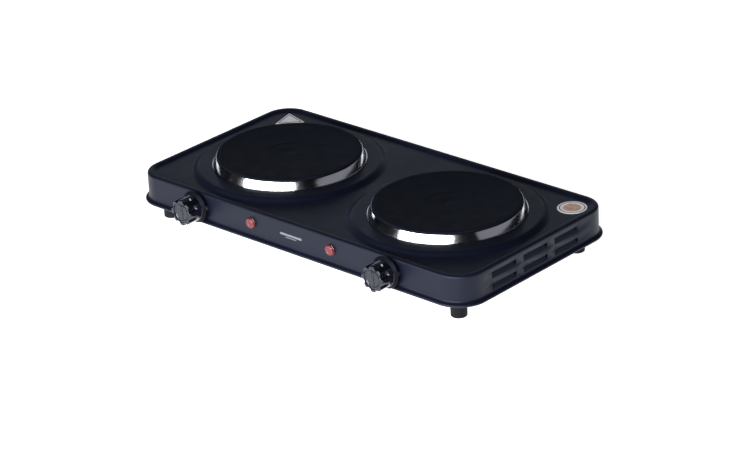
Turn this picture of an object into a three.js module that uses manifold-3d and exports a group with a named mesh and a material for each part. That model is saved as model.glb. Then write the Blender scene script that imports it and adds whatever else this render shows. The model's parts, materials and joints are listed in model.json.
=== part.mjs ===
// A two-plate electric hot plate: a pressed steel housing on four rubber feet, with two cast iron
// plates in chrome rings, a thermostat with its knob for each plate, two pilot lamps and the wiring.
// Millimetres, +Z up. The origin is under the middle of the whole object, on the surface it stands on,
// and the controls face -Y.
import * as THREE from 'three';
import { mergeVertices } from 'three/addons/utils/BufferGeometryUtils.js';
import Module from 'manifold-3d';

const wasm = await Module();
wasm.setup();

// ---------------------------------------------------------------- driving dimensions

const GAP = 0.3; // clearance between pieces that touch
const SHEET = 1.0; // thickness of the pressed steel
const ROUND = 40; // facets round the plates, their rings and their plateaus
const CORNER = 24; // facets in a full turn of the housing's corners
const MEDIUM = 32; // facets round the knobs, the pans and the round label
const SMALL = 16; // facets round shafts, lamps, feet and their bores
const TINY = 10; // facets round screws and pins
const THROUGH = 1; // how far a cutting shape passes beyond what it cuts
const BITE = 1; // how far shapes that are joined run into each other
const SOFT = [[0.25, 0.15], [0.75, 0.85]]; // turns of a soft slope, as shares of its run and its rise

const plate = {
  radius: 76.7, // cast iron disc
  spacing: 218.4, // between the two centres
  shift: -1.5, // of both centres from the housing's middle, along Y
  discThickness: 6,
  rimThickness: 9.8, // of the disc where it overhangs the collar
  overhang: 6.7, // from the collar to the edge of the disc
  edgeChamfer: 0.8,
  collarWall: 4,
  collarDepth: 17, // from the top of the disc to the foot of the collar
  bossRadius: 8,
  dimpleRadius: 21,
  dimpleDepth: 0.6,
};

const ring = {
  sheet: 0.8,
  spread: 3.2, // how much wider its foot is than its top
  lipOverlap: 6, // inward flange under the disc
  foldWidth: 1.2, // of the metal at its foot
  topStep: 0.8, // its top edge below the top of the disc
};

const housing = {
  wallHeight: 32.3, // from the foot of the flange to the top of the rim
  cornerRadius: 28.5,
  edgeRadius: 2.6,
  rimCrown: 2.2, // flat top of the rim
  rimSlope: 4.7, // inner side of the rim, seen from above
  panelDepth: 2.3, // panel below the rim
  endLand: 2.3, // panel between a plateau and the rim at each end
  sideLand: 1.0, // the same at the front and the back
  flangeOverhang: 3.85,
  beadRadius: 1.95,
  flareHeight: 6.3,
};

const plateau = {
  shoulder: 9, // width of the sloping side
  land: 14, // flat top outside the chrome ring
  height: 4.2, // above the panel
  openingClearance: 1.5,
};

const louvre = {
  width: 37,
  height: 5.7,
  rowGap: 6.9,
  pitch: 48.2,
  lean: 3.2,
  slit: 0.4,
  shift: -4.5,
  land: 0.5,
};

const foot = {
  height: 20, // stand-off below the flange
  radius: 8.7,
  taper: 0.3,
  edge: 1.3,
  counterbore: 5,
  shoulder: 9, // height of the screw's seat
  insetX: 26, // from the end wall to the middle of the foot
  insetY: 22.5,
};

const base = { recess: 1, sideGap: 0.5, slotLength: 46, slotWidth: 4, slotPitch: 12, slotsPerSide: 7 };

const lug = { length: 14, width: 10, height: 8, insetX: 47 };

const controls = { shift: -2.5, knobSpacing: 264, lampSpacing: 109.6, axisDrop: 15.2, lampDrop: 14.1 };

const knob = {
  skirtRadius: 17,
  skirtEdge: 1.3,
  coneSlope: 2.6 / 3, // rise of the skirt's cone over its run
  barrelRadius: 14,
  length: 20.4, // from the back of the skirt to the face
  lobes: 8,
  fluteRadius: 3.1,
  fluteDepth: 2.1,
  faceBevel: 0.8,
  backRecess: 2.4,
  backWall: 3.5,
  rim: 2, // wall round the recess in its back
  hubWall: 3,
  boreDepth: 13,
  clearance: 0.5, // from the flange to the back of the skirt
};

const shaft = { radius: 3, flat: 1.5, tail: 12, endGap: 1, wallGap: 1 };

const spring = { sheet: 0.5, startGap: 2.5, edgeGap: 0.5 };

const thermostat = {
  width: 36,
  depth: 22,
  floorGap: 4.6, // above the base plate
  panelGap: 1.4, // below the panel
  noseDepth: 4,
  noseInset: 2,
  noseHeight: 12,
  screwOffset: 11,
  screwBite: 6,
  pilotDepth: 8,
  tabLength: 6,
  tabWidth: 5,
  tabSheet: 0.8,
};

const lamp = {
  radius: 5.8,
  stand: 3.2,
  neckRadius: 4.4,
  neckLength: 4,
  edge: 0.7,
  holderWall: 1.8,
  holderLength: 18,
};

const clamp = { sheet: 1.4, width: 18, reach: 10, rise: 6, bendGap: 3, bendSkew: 0.6 };

const stud = { radius: 3, tail: 5 };

const nut = { radius: 5.8, height: 3.9 };

const element = { pinRadius: 1.6, pinSpacing: 16, pinY: 40, pinDrop: 6, pinGap: 1 };

const pan = { sheet: 0.8 };

const screw = { shankRadius: 2, headRadius: 4, headHeight: 2.4, slotWidth: 0.9, slotDepth: 1.0, tail: 5 };

const smallScrew = {
  shankRadius: 1.6,
  headRadius: 3.2,
  headHeight: 1.9,
  slotWidth: 0.8,
  slotDepth: 0.8,
  tail: 6,
};

const gland = {
  boreRadius: 3.7,
  neckRadius: 5.7,
  lipRadius: 8.2,
  lip: 2.6,
  lipEdge: 0.8,
  backLip: 1.8,
  backEdge: 1,
  flareGap: 1.8, // above the flare of the wall
};

const block = { length: 38, width: 20, height: 14, wireHole: 2, wireHeight: 6, backGap: 12, earthOffset: 34 };

const wire = { radius: 1.3, sides: 5, floor: 3, stop: 0.8 };

// The bends of each lead, each as [outwards from the middle, backwards, upwards] from the piece named.
const bends = {
  live: { block: [4, -16], tab: [-24, 24], rise: [-1, 9, -4], acrossX: -70, acrossY: -20 },
  element: { tab: [2, 10, -5], pin: [18, -8], drop: [1, 0, -9], acrossX: 22, acrossY: -30 },
  neutral: { drop: [-1, 0, -9], pin: [-24, 4, 3], block: [24, -12, 4], gather: [3, -7, 4], end: [1.5, -1] },
  lamp: { back: [1, 8, -3], across: [26, 14, 5], tab: [-12, 6, 5], end: [-4, 1, -3] },
};

const label = {
  sheet: 0.3,
  triangleSide: 32,
  apexInsetX: 10.3, // from the rim's inner foot to the triangle's apex
  apexInsetY: 6.3,
  roundRadius: 15.3,
  roundInsetX: 0.6,
  roundInsetY: 4.5,
};

// ---------------------------------------------------------------- derived dimensions

const ringFootRadius = plate.radius + GAP + ring.sheet + ring.spread;
const plateauRadius = ringFootRadius + plateau.land + plateau.shoulder;
const collarRadius = plate.radius - plate.overhang; // outer face of the collar below the disc
const rimWidth = housing.edgeRadius + housing.rimCrown + housing.rimSlope;
const halfLength = plate.spacing / 2 + plateauRadius + housing.endLand + rimWidth;
const halfWidth = plateauRadius + housing.sideLand + rimWidth;

const flangeZ = foot.height;
const rimZ = flangeZ + housing.wallHeight;
const panelZ = rimZ - housing.panelDepth;
const plateauZ = panelZ + plateau.height;
const flareZ = flangeZ + housing.flareHeight;
const baseZ = flangeZ + base.recess;
const baseTopZ = baseZ + SHEET;

const ringZ = plateauZ + GAP;
const discUnderZ = ringZ + ring.sheet + GAP; // underside of the disc's overhanging rim
const plateTopZ = discUnderZ + plate.rimThickness;
const cavityZ = plateTopZ - plate.discThickness;
const collarZ = plateTopZ - plate.collarDepth;
const openingRadius = collarRadius + plateau.openingClearance;

const panTopZ = collarZ - GAP;
const clampTopZ = panTopZ - pan.sheet - GAP;
const nutTopZ = clampTopZ - clamp.sheet - GAP;
const studBottomZ = nutTopZ - nut.height - stud.tail;
const pinBottomZ = panTopZ - element.pinDrop;

const knobZ = rimZ - controls.axisDrop;
const lampZ = rimZ - controls.lampDrop;
const glandZ = flareZ + gland.flareGap + gland.lipRadius;
const skirtBack = housing.flangeOverhang + knob.clearance;
const knobFace = skirtBack + knob.length;
const shaftFront = skirtBack + knob.backWall + knob.boreDepth - shaft.endGap;
const wireZ = baseTopZ + wire.floor;

const LEFT = -1;
const RIGHT = 1;
const SIDES = [['left', LEFT], ['right', RIGHT]];
const CORNERS = [
  ['front_left', LEFT, -1],
  ['front_right', RIGHT, -1],
  ['rear_left', LEFT, 1],
  ['rear_right', RIGHT, 1],
];

const plateX = (side) => side * plate.spacing / 2;
const knobX = (side) => controls.shift + side * controls.knobSpacing / 2;
const lampX = (side) => controls.shift + side * controls.lampSpacing / 2;
const footX = halfLength - foot.insetX;
const footY = halfWidth - foot.insetY;
const lugX = halfLength - lug.insetX;
const lugY = halfWidth - SHEET - lug.width / 2;

// ---------------------------------------------------------------- solids

// A closed geometry as a solid that can be joined and cut.
function solid(geometry) {
  const bare = geometry.clone();
  bare.deleteAttribute('normal');
  bare.deleteAttribute('uv');
  const merged = mergeVertices(bare, 1e-4);
  const index = merged.index.array;
  const triangles = [];
  for (let i = 0; i < index.length; i += 3) {
    const [a, b, c] = [index[i], index[i + 1], index[i + 2]];
    if (a !== b && b !== c && c !== a) triangles.push(a, b, c);
  }
  const made = manifoldOf(merged, triangles);
  if (made.volume() > 0) return made;
  return manifoldOf(merged, triangles.reverse());
}

function manifoldOf(geometry, triangles) {
  return new wasm.Manifold(new wasm.Mesh({
    numProp: 3,
    vertProperties: geometry.attributes.position.array,
    triVerts: new Uint32Array(triangles),
  }));
}

// A solid back as a geometry.
function geometryOf(made) {
  const { numProp, vertProperties, triVerts } = made.getMesh();
  const positions = new Float32Array((vertProperties.length / numProp) * 3);
  for (let i = 0; i * numProp < vertProperties.length; i += 1) {
    positions.set(vertProperties.subarray(i * numProp, i * numProp + 3), i * 3);
  }
  const geometry = new THREE.BufferGeometry();
  geometry.setAttribute('position', new THREE.BufferAttribute(positions, 3));
  geometry.setIndex(new THREE.BufferAttribute(triVerts, 1));
  geometry.computeVertexNormals();
  return geometry;
}

const join = (parts) => parts.reduce((all, part) => all.add(part));
const cut = (body, tools) => tools.reduce((left, tool) => left.subtract(tool), body);

// A path from a list of points, as the outline of a turned or extruded shape.
const points = (list) => list.map(([x, y]) => new THREE.Vector2(x, y));

// A solid turned about Z from [radius, height] points or from the points of a path.
function turned(profile, segments = ROUND, x = 0, y = 0) {
  const list = profile[0].isVector2 ? profile : points(profile);
  const geometry = new THREE.LatheGeometry(list, segments);
  geometry.rotateX(Math.PI / 2);
  geometry.translate(x, y, 0);
  return solid(geometry);
}

function cylinder(radius, from, to, x = 0, y = 0, segments = SMALL) {
  const geometry = new THREE.CylinderGeometry(radius, radius, to - from, segments);
  geometry.rotateX(Math.PI / 2);
  geometry.translate(x, y, (from + to) / 2);
  return solid(geometry);
}

// A cylinder along Y, for holes and pins in the front and back walls.
function cylinderY(radius, from, to, x, z, segments = SMALL) {
  const geometry = new THREE.CylinderGeometry(radius, radius, to - from, segments);
  geometry.translate(x, (from + to) / 2, z);
  return solid(geometry);
}

// A box from its two opposite corners.
function box([x0, y0, z0], [x1, y1, z1]) {
  const geometry = new THREE.BoxGeometry(x1 - x0, y1 - y0, z1 - z0);
  geometry.translate((x0 + x1) / 2, (y0 + y1) / 2, (z0 + z1) / 2);
  return solid(geometry);
}

// A flat outline in X and Y, raised from one height to another.
function raised(shape, from, to, curveSegments = 6) {
  const geometry = new THREE.ExtrudeGeometry(shape, { depth: to - from, bevelEnabled: false, curveSegments });
  geometry.translate(0, 0, from);
  return geometry;
}

// An outline in [Y, Z], extruded along X; and one in [X, Z], extruded along Y.
function alongX(outline, from, to) {
  const shape = new THREE.Shape(points(outline));
  const geometry = new THREE.ExtrudeGeometry(shape, { depth: to - from, bevelEnabled: false });
  const turn = new THREE.Matrix4().makeBasis(
    new THREE.Vector3(0, 1, 0), new THREE.Vector3(0, 0, 1), new THREE.Vector3(1, 0, 0));
  geometry.applyMatrix4(turn);
  geometry.translate(from, 0, 0);
  return solid(geometry);
}

function alongY(outline, from, to) {
  const shape = new THREE.Shape(points(outline));
  const geometry = new THREE.ExtrudeGeometry(shape, { depth: to - from, bevelEnabled: false });
  geometry.rotateX(Math.PI / 2);
  geometry.translate(0, to, 0);
  return solid(geometry);
}

// A body with rounded corners whose side follows one profile all round, solid in the middle. The
// profile's points are [distance outwards from the middle of the corner, height], from the axis at the
// bottom to the axis at the top.
function roundedBody(profile, segments) {
  const cornerX = halfLength - housing.cornerRadius;
  const cornerY = halfWidth - housing.cornerRadius;
  const section = (corner) => [
    ...profile.map(({ x, y }) => [corner + x, y]),
    ...profile.slice().reverse().map(({ x, y }) => [-corner - x, y]),
  ];
  const posts = [];
  for (const x of [-cornerX, cornerX]) {
    for (const y of [-cornerY, cornerY]) posts.push(turned(profile, segments, x, y));
  }
  const bars = [alongX(section(cornerY), -cornerX, cornerX), alongY(section(cornerX), -cornerY, cornerY)];
  return join([...bars, ...posts]);
}

// A rounded rectangle centred on the origin.
function roundedRectangle(halfX, halfY, radius) {
  const shape = new THREE.Shape();
  shape.moveTo(halfX, -halfY + radius);
  shape.absarc(halfX - radius, halfY - radius, radius, 0, Math.PI / 2, false);
  shape.absarc(-halfX + radius, halfY - radius, radius, Math.PI / 2, Math.PI, false);
  shape.absarc(-halfX + radius, -halfY + radius, radius, Math.PI, Math.PI * 1.5, false);
  shape.absarc(halfX - radius, -halfY + radius, radius, Math.PI * 1.5, Math.PI * 2, false);
  return shape;
}

function circleHole(x, y, radius) {
  const hole = new THREE.Path();
  hole.absarc(x, y, radius, 0, Math.PI * 2, true);
  return hole;
}

// A slot along X whose ends are rounded by three flats.
function slotHole(x, y, length, width) {
  const reach = (length - width) / 2;
  const outline = [];
  for (const end of [1, -1]) {
    for (const angle of [90, 30, -30, -90]) {
      const turn = THREE.MathUtils.degToRad(angle);
      const [u, v] = [reach + Math.cos(turn) * width / 2, Math.sin(turn) * width / 2];
      outline.push([x + end * u, y + end * v]);
    }
  }
  return new THREE.Path(points(outline));
}

// ---------------------------------------------------------------- materials

const material = (color, roughness, metalness) => (
  new THREE.MeshStandardMaterial({ color, roughness, metalness }));
const blackEnamel = material(0x24262c, 0.42, 0.1);
const castIron = material(0x1b1d21, 0.75, 0.2);
const chrome = material(0xd9dbe0, 0.08, 1);
const zincSteel = material(0x9fa3a8, 0.4, 0.9);
const bakelite = material(0x0c0c0f, 0.15, 0);
const redLens = material(0xa8202c, 0.2, 0);
const rubber = material(0x33353b, 0.85, 0);
const ceramic = material(0xe6e1d6, 0.6, 0);
const whiteNylon = material(0xdeddd8, 0.5, 0);
const blackNylon = material(0x1a1a1d, 0.55, 0);
const sleeveBrown = material(0x6b3f22, 0.7, 0);
const sleeveBlue = material(0x2c4f8c, 0.7, 0);
const paper = material(0xd8d8dc, 0.5, 0);

function mesh(name, shape, finish) {
  const made = new THREE.Mesh(shape.isBufferGeometry ? shape : geometryOf(shape), finish);
  made.name = name;
  return made;
}

// ---------------------------------------------------------------- housing

// The outer side of the pressed shell: rolled bead, flare, wall and round edge, with a flat top.
function shellProfile() {
  const { cornerRadius: r, edgeRadius, beadRadius, flangeOverhang } = housing;
  const bead = r + flangeOverhang - beadRadius;
  const path = new THREE.Path();
  path.moveTo(0, flangeZ);
  path.lineTo(bead, flangeZ);
  path.absarc(bead, flangeZ + beadRadius, beadRadius, -Math.PI / 2, 0, false);
  path.absarc(bead, flangeZ + beadRadius, beadRadius, 0, Math.PI / 3, false);
  path.quadraticCurveTo(r, flangeZ + 2 * beadRadius, r, flareZ);
  path.lineTo(r, rimZ - edgeRadius);
  path.absarc(r - edgeRadius, rimZ - edgeRadius, edgeRadius, 0, Math.PI / 2, false);
  path.lineTo(0, rimZ);
  return path.getPoints(1);
}

// The hollow below the sheet, open at the foot, with a flat top.
function hollowProfile() {
  const { cornerRadius: r, edgeRadius } = housing;
  const path = new THREE.Path();
  path.moveTo(0, flangeZ - THROUGH);
  path.lineTo(r - SHEET, flangeZ - THROUGH);
  path.lineTo(r - SHEET, rimZ - edgeRadius);
  path.absarc(r - edgeRadius, rimZ - edgeRadius, edgeRadius - SHEET, 0, Math.PI / 2, false);
  path.lineTo(0, rimZ - SHEET);
  return path.getPoints(1);
}

// The panel's pocket inside the rim, with its soft slope, grown outwards and down by a distance.
function pocket(growth) {
  const foot = housing.cornerRadius - rimWidth + growth;
  const floor = panelZ - growth;
  const { rimSlope, panelDepth } = housing;
  return roundedBody(points([
    [0, floor],
    [foot, floor],
    ...SOFT.map(([run, rise]) => [foot + rimSlope * run, floor + panelDepth * rise]),
    [foot + rimSlope, floor + panelDepth],
    [foot + rimSlope, rimZ + THROUGH],
    [0, rimZ + THROUGH],
  ]), CORNER);
}

// A round plateau with a soft shoulder; its top and its foot are given, for the outer and inner faces.
function plateauBody(x, footRadius, footZ, topZ) {
  const rise = topZ - footZ;
  return turned([
    [0, footZ - SHEET / 2],
    [footRadius, footZ - SHEET / 2],
    [footRadius, footZ],
    ...SOFT.map(([run, share]) => [footRadius - plateau.shoulder * run, footZ + rise * share]),
    [footRadius - plateau.shoulder, topZ],
    [0, topZ],
  ], ROUND, x, plate.shift);
}

// The slots in an end wall, each with its tongue bent inwards and hinged along its lower edge.
function louvres(side) {
  const wall = side * halfLength;
  const inwards = (distance) => wall - side * distance;
  const straightWall = 2 * (halfWidth - housing.cornerRadius);
  const columns = Math.floor(straightWall / louvre.pitch);
  const freeWall = rimZ - housing.edgeRadius - flareZ - louvre.land;
  const rows = Math.floor((freeWall + louvre.rowGap) / (louvre.height + louvre.rowGap));
  const windows = [];
  const tongues = [];
  for (let column = 0; column < columns; column += 1) {
    const y = louvre.shift + (column - (columns - 1) / 2) * louvre.pitch;
    for (let row = 0; row < rows; row += 1) {
      const low = flareZ + louvre.land + row * (louvre.height + louvre.rowGap);
      const high = low + louvre.height;
      const xs = [inwards(-THROUGH), inwards(SHEET + THROUGH)].sort((a, b) => a - b);
      windows.push(box([xs[0], y - louvre.width / 2, low], [xs[1], y + louvre.width / 2, high]));
      const tongue = [
        [inwards(0), low - SHEET / 2],
        [inwards(0), low],
        [inwards(louvre.lean), high - louvre.slit],
        [inwards(louvre.lean + SHEET), high - louvre.slit],
        [inwards(SHEET), low],
        [inwards(SHEET), low - SHEET / 2],
      ];
      tongues.push(alongY(tongue, y - louvre.width / 2 + louvre.slit, y + louvre.width / 2 - louvre.slit));
    }
  }
  return { windows, tongues };
}

// The block inside the front or back wall that a base screw bites into.
function lugBlock(x, y) {
  const wallSide = Math.sign(y) * (halfWidth - SHEET / 2);
  const inside = Math.sign(y) * (halfWidth - SHEET - lug.width);
  const ys = [wallSide, inside].sort((a, b) => a - b);
  const bottom = baseTopZ + GAP;
  return box([x - lug.length / 2, ys[0], bottom], [x + lug.length / 2, ys[1], bottom + lug.height]);
}

function topHousing() {
  const outside = join([
    roundedBody(shellProfile(), CORNER).subtract(pocket(0)),
    ...SIDES.map(([, side]) => plateauBody(plateX(side), plateauRadius, panelZ, plateauZ)),
  ]);
  const inside = join([
    roundedBody(hollowProfile(), CORNER).subtract(pocket(SHEET)),
    ...SIDES.map(([, side]) => plateauBody(
      plateX(side), plateauRadius - SHEET, panelZ - SHEET, plateauZ - SHEET)),
  ]);
  const front = -halfWidth;
  const throughFront = (radius, x, z) => cylinderY(radius, front - THROUGH, front + SHEET + THROUGH, x, z);
  const holes = [];
  const added = [];
  for (const [, side] of SIDES) {
    const { windows, tongues } = louvres(side);
    holes.push(...windows);
    added.push(...tongues);
    const low = panelZ - SHEET - THROUGH;
    holes.push(cylinder(openingRadius, low, plateauZ + THROUGH, plateX(side), plate.shift, ROUND));
    holes.push(throughFront(shaft.radius + shaft.wallGap, knobX(side), knobZ));
    for (const offset of [-thermostat.screwOffset, thermostat.screwOffset]) {
      holes.push(throughFront(smallScrew.shankRadius + GAP, knobX(side) + offset, knobZ));
    }
    holes.push(throughFront(lamp.neckRadius + GAP, lampX(side), lampZ));
  }
  holes.push(cylinderY(gland.neckRadius + GAP, halfWidth - SHEET - THROUGH, halfWidth + THROUGH, 0, glandZ));
  const pilots = [];
  for (const [, sx, sy] of CORNERS) {
    added.push(lugBlock(sx * lugX, sy * lugY));
    const top = baseTopZ + lug.height + THROUGH;
    pilots.push(cylinder(smallScrew.shankRadius + GAP, baseTopZ, top, sx * lugX, sy * lugY, TINY));
  }
  const shell = cut(outside.subtract(inside), holes);
  return mesh('top_housing', cut(join([shell, ...added]), pilots), blackEnamel);
}

// ---------------------------------------------------------------- base, feet and screws

function basePlate() {
  const inset = SHEET + base.sideGap;
  const shape = roundedRectangle(halfLength - inset, halfWidth - inset, housing.cornerRadius - inset);
  for (const [, sx, sy] of CORNERS) {
    shape.holes.push(circleHole(sx * footX, sy * footY, screw.shankRadius + GAP));
    shape.holes.push(circleHole(sx * lugX, sy * lugY, smallScrew.shankRadius + GAP));
  }
  for (const [, side] of SIDES) {
    for (let i = 0; i < base.slotsPerSide; i += 1) {
      const y = plate.shift + (i - (base.slotsPerSide - 1) / 2) * base.slotPitch;
      shape.holes.push(slotHole(plateX(side), y, base.slotLength, base.slotWidth));
    }
  }
  shape.holes.push(circleHole(earthAt.x, earthAt.y, smallScrew.shankRadius + GAP));
  return mesh('base_plate', raised(shape, baseZ, baseTopZ, 5), zincSteel);
}

function rubberFoot(name, x, y) {
  const top = baseZ - GAP;
  const bore = screw.shankRadius + GAP;
  const low = foot.radius - foot.taper;
  const path = new THREE.Path();
  path.moveTo(bore, top);
  path.lineTo(bore, foot.shoulder);
  path.lineTo(foot.counterbore, foot.shoulder);
  path.lineTo(foot.counterbore, 0);
  path.lineTo(low - foot.edge, 0);
  path.absarc(low - foot.edge, foot.edge, foot.edge, -Math.PI / 2, 0, false);
  path.lineTo(foot.radius, top);
  path.lineTo(bore, top);
  const made = mesh(name, turned(path.getPoints(1), SMALL), rubber);
  made.position.set(x, y, 0);
  return made;
}

// A cross-headed screw along Z, its head below the seat and its shank above.
function screwUp(name, size, seatZ, tipZ, x, y) {
  const headTop = seatZ - GAP;
  const headBottom = headTop - size.headHeight;
  const { shankRadius, headRadius, slotWidth, slotDepth } = size;
  const round = size.headHeight * 0.4;
  const body = turned([
    [0, headBottom],
    [headRadius - round, headBottom],
    [headRadius, headBottom + round],
    [headRadius, headTop],
    [shankRadius, headTop],
    [shankRadius, tipZ - shankRadius],
    [shankRadius * 0.4, tipZ],
    [0, tipZ],
  ], TINY);
  const reach = headRadius * 0.6;
  const half = slotWidth / 2;
  const cross = join([
    box([-reach, -half, headBottom - THROUGH], [reach, half, headBottom + slotDepth]),
    box([-half, -reach, headBottom - THROUGH], [half, reach, headBottom + slotDepth]),
  ]);
  const made = mesh(name, body.subtract(cross), zincSteel);
  made.position.set(x, y, 0);
  return made;
}

// ---------------------------------------------------------------- hot plates

function hotPlate(name, x) {
  const { radius, edgeChamfer, collarWall, bossRadius, dimpleRadius, dimpleDepth } = plate;
  const body = turned([
    [0, collarZ],
    [bossRadius, collarZ],
    [bossRadius, cavityZ],
    [collarRadius - collarWall, cavityZ],
    [collarRadius - collarWall, collarZ],
    [collarRadius, collarZ],
    [collarRadius, discUnderZ],
    [radius, discUnderZ],
    [radius, plateTopZ - edgeChamfer],
    [radius - edgeChamfer, plateTopZ],
    [dimpleRadius, plateTopZ],
    [dimpleRadius - 2 * dimpleDepth, plateTopZ - dimpleDepth],
    [0, plateTopZ - dimpleDepth],
  ], ROUND);
  const studHole = cylinder(stud.radius + GAP, collarZ - THROUGH, cavityZ - GAP);
  const made = mesh(name, body.subtract(studHole), castIron);
  made.position.set(x, plate.shift, 0);
  return made;
}

function trimRing(name, x) {
  const top = plateTopZ - ring.topStep;
  const inner = plate.radius + GAP;
  const made = mesh(name, turned([
    [ringFootRadius, ringZ],
    [inner + ring.sheet, top],
    [inner, top],
    [ringFootRadius - ring.foldWidth, ringZ + ring.sheet],
    [plate.radius - ring.lipOverlap + GAP, ringZ + ring.sheet],
    [plate.radius - ring.lipOverlap + GAP, ringZ],
    [ringFootRadius, ringZ],
  ], ROUND), chrome);
  made.position.set(x, plate.shift, 0);
  return made;
}

// The insulating ring that holds the resistance wire and fills the hollow of the plate, with its two
// connecting pins.
function heatingElement(name, x) {
  const inner = plate.bossRadius + GAP;
  const outer = collarRadius - plate.collarWall - GAP;
  const top = cavityZ - GAP;
  const bottom = panTopZ + GAP;
  const body = turned([
    [inner, bottom],
    [outer, bottom],
    [outer, top],
    [inner, top],
    [inner, bottom],
  ], ROUND);
  const pins = SIDES.map(([, side]) => cylinder(
    element.pinRadius, pinBottomZ, bottom + BITE, side * element.pinSpacing / 2, element.pinY, TINY));
  const made = mesh(name, join([body, ...pins]), ceramic);
  made.position.set(x, plate.shift, 0);
  return made;
}

// The thin tray that closes the plate from below.
function platePan(name, x) {
  const outer = collarRadius - GAP;
  const floor = panTopZ - pan.sheet;
  const body = turned([
    [0, floor],
    [outer, floor],
    [outer, panTopZ],
    [0, panTopZ],
  ], MEDIUM);
  const through = (radius, x, y) => cylinder(radius, floor - THROUGH, panTopZ + THROUGH, x, y);
  const holes = [through(stud.radius + GAP, 0, 0)];
  for (const [, side] of SIDES) {
    holes.push(through(element.pinRadius + element.pinGap, side * element.pinSpacing / 2, element.pinY));
  }
  const made = mesh(name, cut(body, holes), zincSteel);
  made.position.set(x, plate.shift, 0);
  return made;
}

// The cross strap that pulls the plate down on the housing. Its ends bear on the plateau from below.
function clampStrap(name, x) {
  const low = clampTopZ - clamp.sheet;
  const padTop = plateauZ - SHEET - GAP;
  const bend = collarRadius + clamp.bendGap;
  const pad = bend + clamp.rise;
  const end = pad + clamp.reach;
  const upper = [[bend, clampTopZ], [pad, padTop], [end, padTop]];
  const lower = [
    [end, padTop - clamp.sheet],
    [pad + clamp.bendSkew, padTop - clamp.sheet],
    [bend + clamp.bendSkew, low],
  ];
  const half = [...upper, ...lower];
  const outline = [...half, ...half.slice().reverse().map(([u, v]) => [-u, v])];
  const strap = alongY(outline, -clamp.width / 2, clamp.width / 2);
  const hole = cylinder(stud.radius + GAP, low - THROUGH, clampTopZ + THROUGH);
  const made = mesh(name, strap.subtract(hole), zincSteel);
  made.position.set(x, plate.shift, 0);
  return made;
}

function centreStud(name, x) {
  const made = mesh(name, cylinder(stud.radius, studBottomZ, cavityZ - 2 * GAP), zincSteel);
  made.position.set(x, plate.shift, 0);
  return made;
}

function centreNut(name, x) {
  const hex = cylinder(nut.radius, nutTopZ - nut.height, nutTopZ, 0, 0, 6);
  const bore = cylinder(stud.radius + GAP, nutTopZ - nut.height - THROUGH, nutTopZ + THROUGH);
  const made = mesh(name, hex.subtract(bore), zincSteel);
  made.position.set(x, plate.shift, 0);
  return made;
}

// ---------------------------------------------------------------- controls
// These are built along local +Z, which points straight out of the front wall, and are then turned to
// face -Y by frontGroup. Local Y is up, and 0 is the wall's outer face.

function frontGroup(x, z, meshes) {
  const group = new THREE.Group();
  group.position.set(x, -halfWidth, z);
  group.rotation.x = Math.PI / 2;
  group.add(...meshes);
  return group;
}

// The fluted outline of a knob: round lobes with scallops between them.
function knobOutline() {
  const { barrelRadius, lobes, fluteRadius, fluteDepth } = knob;
  const centre = barrelRadius - fluteDepth + fluteRadius;
  const reach = (barrelRadius ** 2 + centre ** 2 - fluteRadius ** 2) / (2 * barrelRadius * centre);
  const halfAngle = Math.acos(reach);
  const step = (Math.PI * 2) / lobes;
  const shape = new THREE.Shape();
  for (let i = 0; i < lobes; i += 1) {
    const middle = (i + 0.5) * step;
    shape.absarc(0, 0, barrelRadius, middle - step + halfAngle, middle - halfAngle, false);
    const start = new THREE.Vector2(Math.cos(middle - halfAngle), Math.sin(middle - halfAngle));
    start.multiplyScalar(barrelRadius);
    const hub = new THREE.Vector2(Math.cos(middle), Math.sin(middle)).multiplyScalar(centre);
    const from = Math.atan2(start.y - hub.y, start.x - hub.x);
    const sweep = 2 * (Math.PI + middle - from);
    const wrapped = ((sweep % (2 * Math.PI)) + 2 * Math.PI) % (2 * Math.PI);
    shape.absarc(hub.x, hub.y, fluteRadius, from, from + wrapped, true);
  }
  return shape;
}

function controlKnob(name) {
  const { skirtRadius, skirtEdge, coneSlope, barrelRadius, faceBevel, backRecess, backWall } = knob;
  const coneTop = skirtBack + skirtEdge + coneSlope * (skirtRadius - barrelRadius);
  const skirt = turned([
    [0, skirtBack],
    [skirtRadius, skirtBack],
    [skirtRadius, skirtBack + skirtEdge],
    [barrelRadius - BITE, coneTop],
    [0, coneTop],
  ], MEDIUM);
  const barrel = new THREE.ExtrudeGeometry(knobOutline(), {
    depth: knobFace - faceBevel - coneTop + BITE,
    bevelThickness: faceBevel,
    bevelSize: faceBevel,
    bevelOffset: -faceBevel,
    bevelSegments: 1,
    curveSegments: 2,
  });
  barrel.translate(0, 0, coneTop - BITE);
  const recess = cylinder(skirtRadius - knob.rim, skirtBack - THROUGH, skirtBack + backRecess, 0, 0, MEDIUM);
  const hub = cylinder(shaft.radius + knob.hubWall, skirtBack, skirtBack + backRecess + BITE);
  const bore = cylinder(shaft.radius + GAP, skirtBack - THROUGH, skirtBack + backWall + knob.boreDepth);
  const body = skirt.add(solid(barrel)).subtract(recess);
  return mesh(name, body.add(hub).subtract(bore), bakelite);
}

// The steel spindle, flattened on its upper side where the knob grips it.
function spindle(name) {
  const back = -SHEET - GAP - shaft.tail;
  const round = cylinder(shaft.radius, back, shaftFront);
  const away = shaft.radius + THROUGH;
  const flat = box([-away, shaft.flat, skirtBack + shaft.endGap], [away, away, shaftFront + THROUGH]);
  return mesh(name, round.subtract(flat), zincSteel);
}

// The leaf spring between the flat of the spindle and the bore of the knob.
function knobSpring(name) {
  const low = shaft.flat + GAP;
  const high = low + spring.sheet;
  const reach = shaft.radius + GAP - spring.edgeGap;
  const half = Math.sqrt(reach ** 2 - high ** 2);
  const from = skirtBack + spring.startGap;
  const to = shaftFront - shaft.endGap;
  return mesh(name, box([-half, low, from], [half, high, to]), zincSteel);
}

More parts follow.
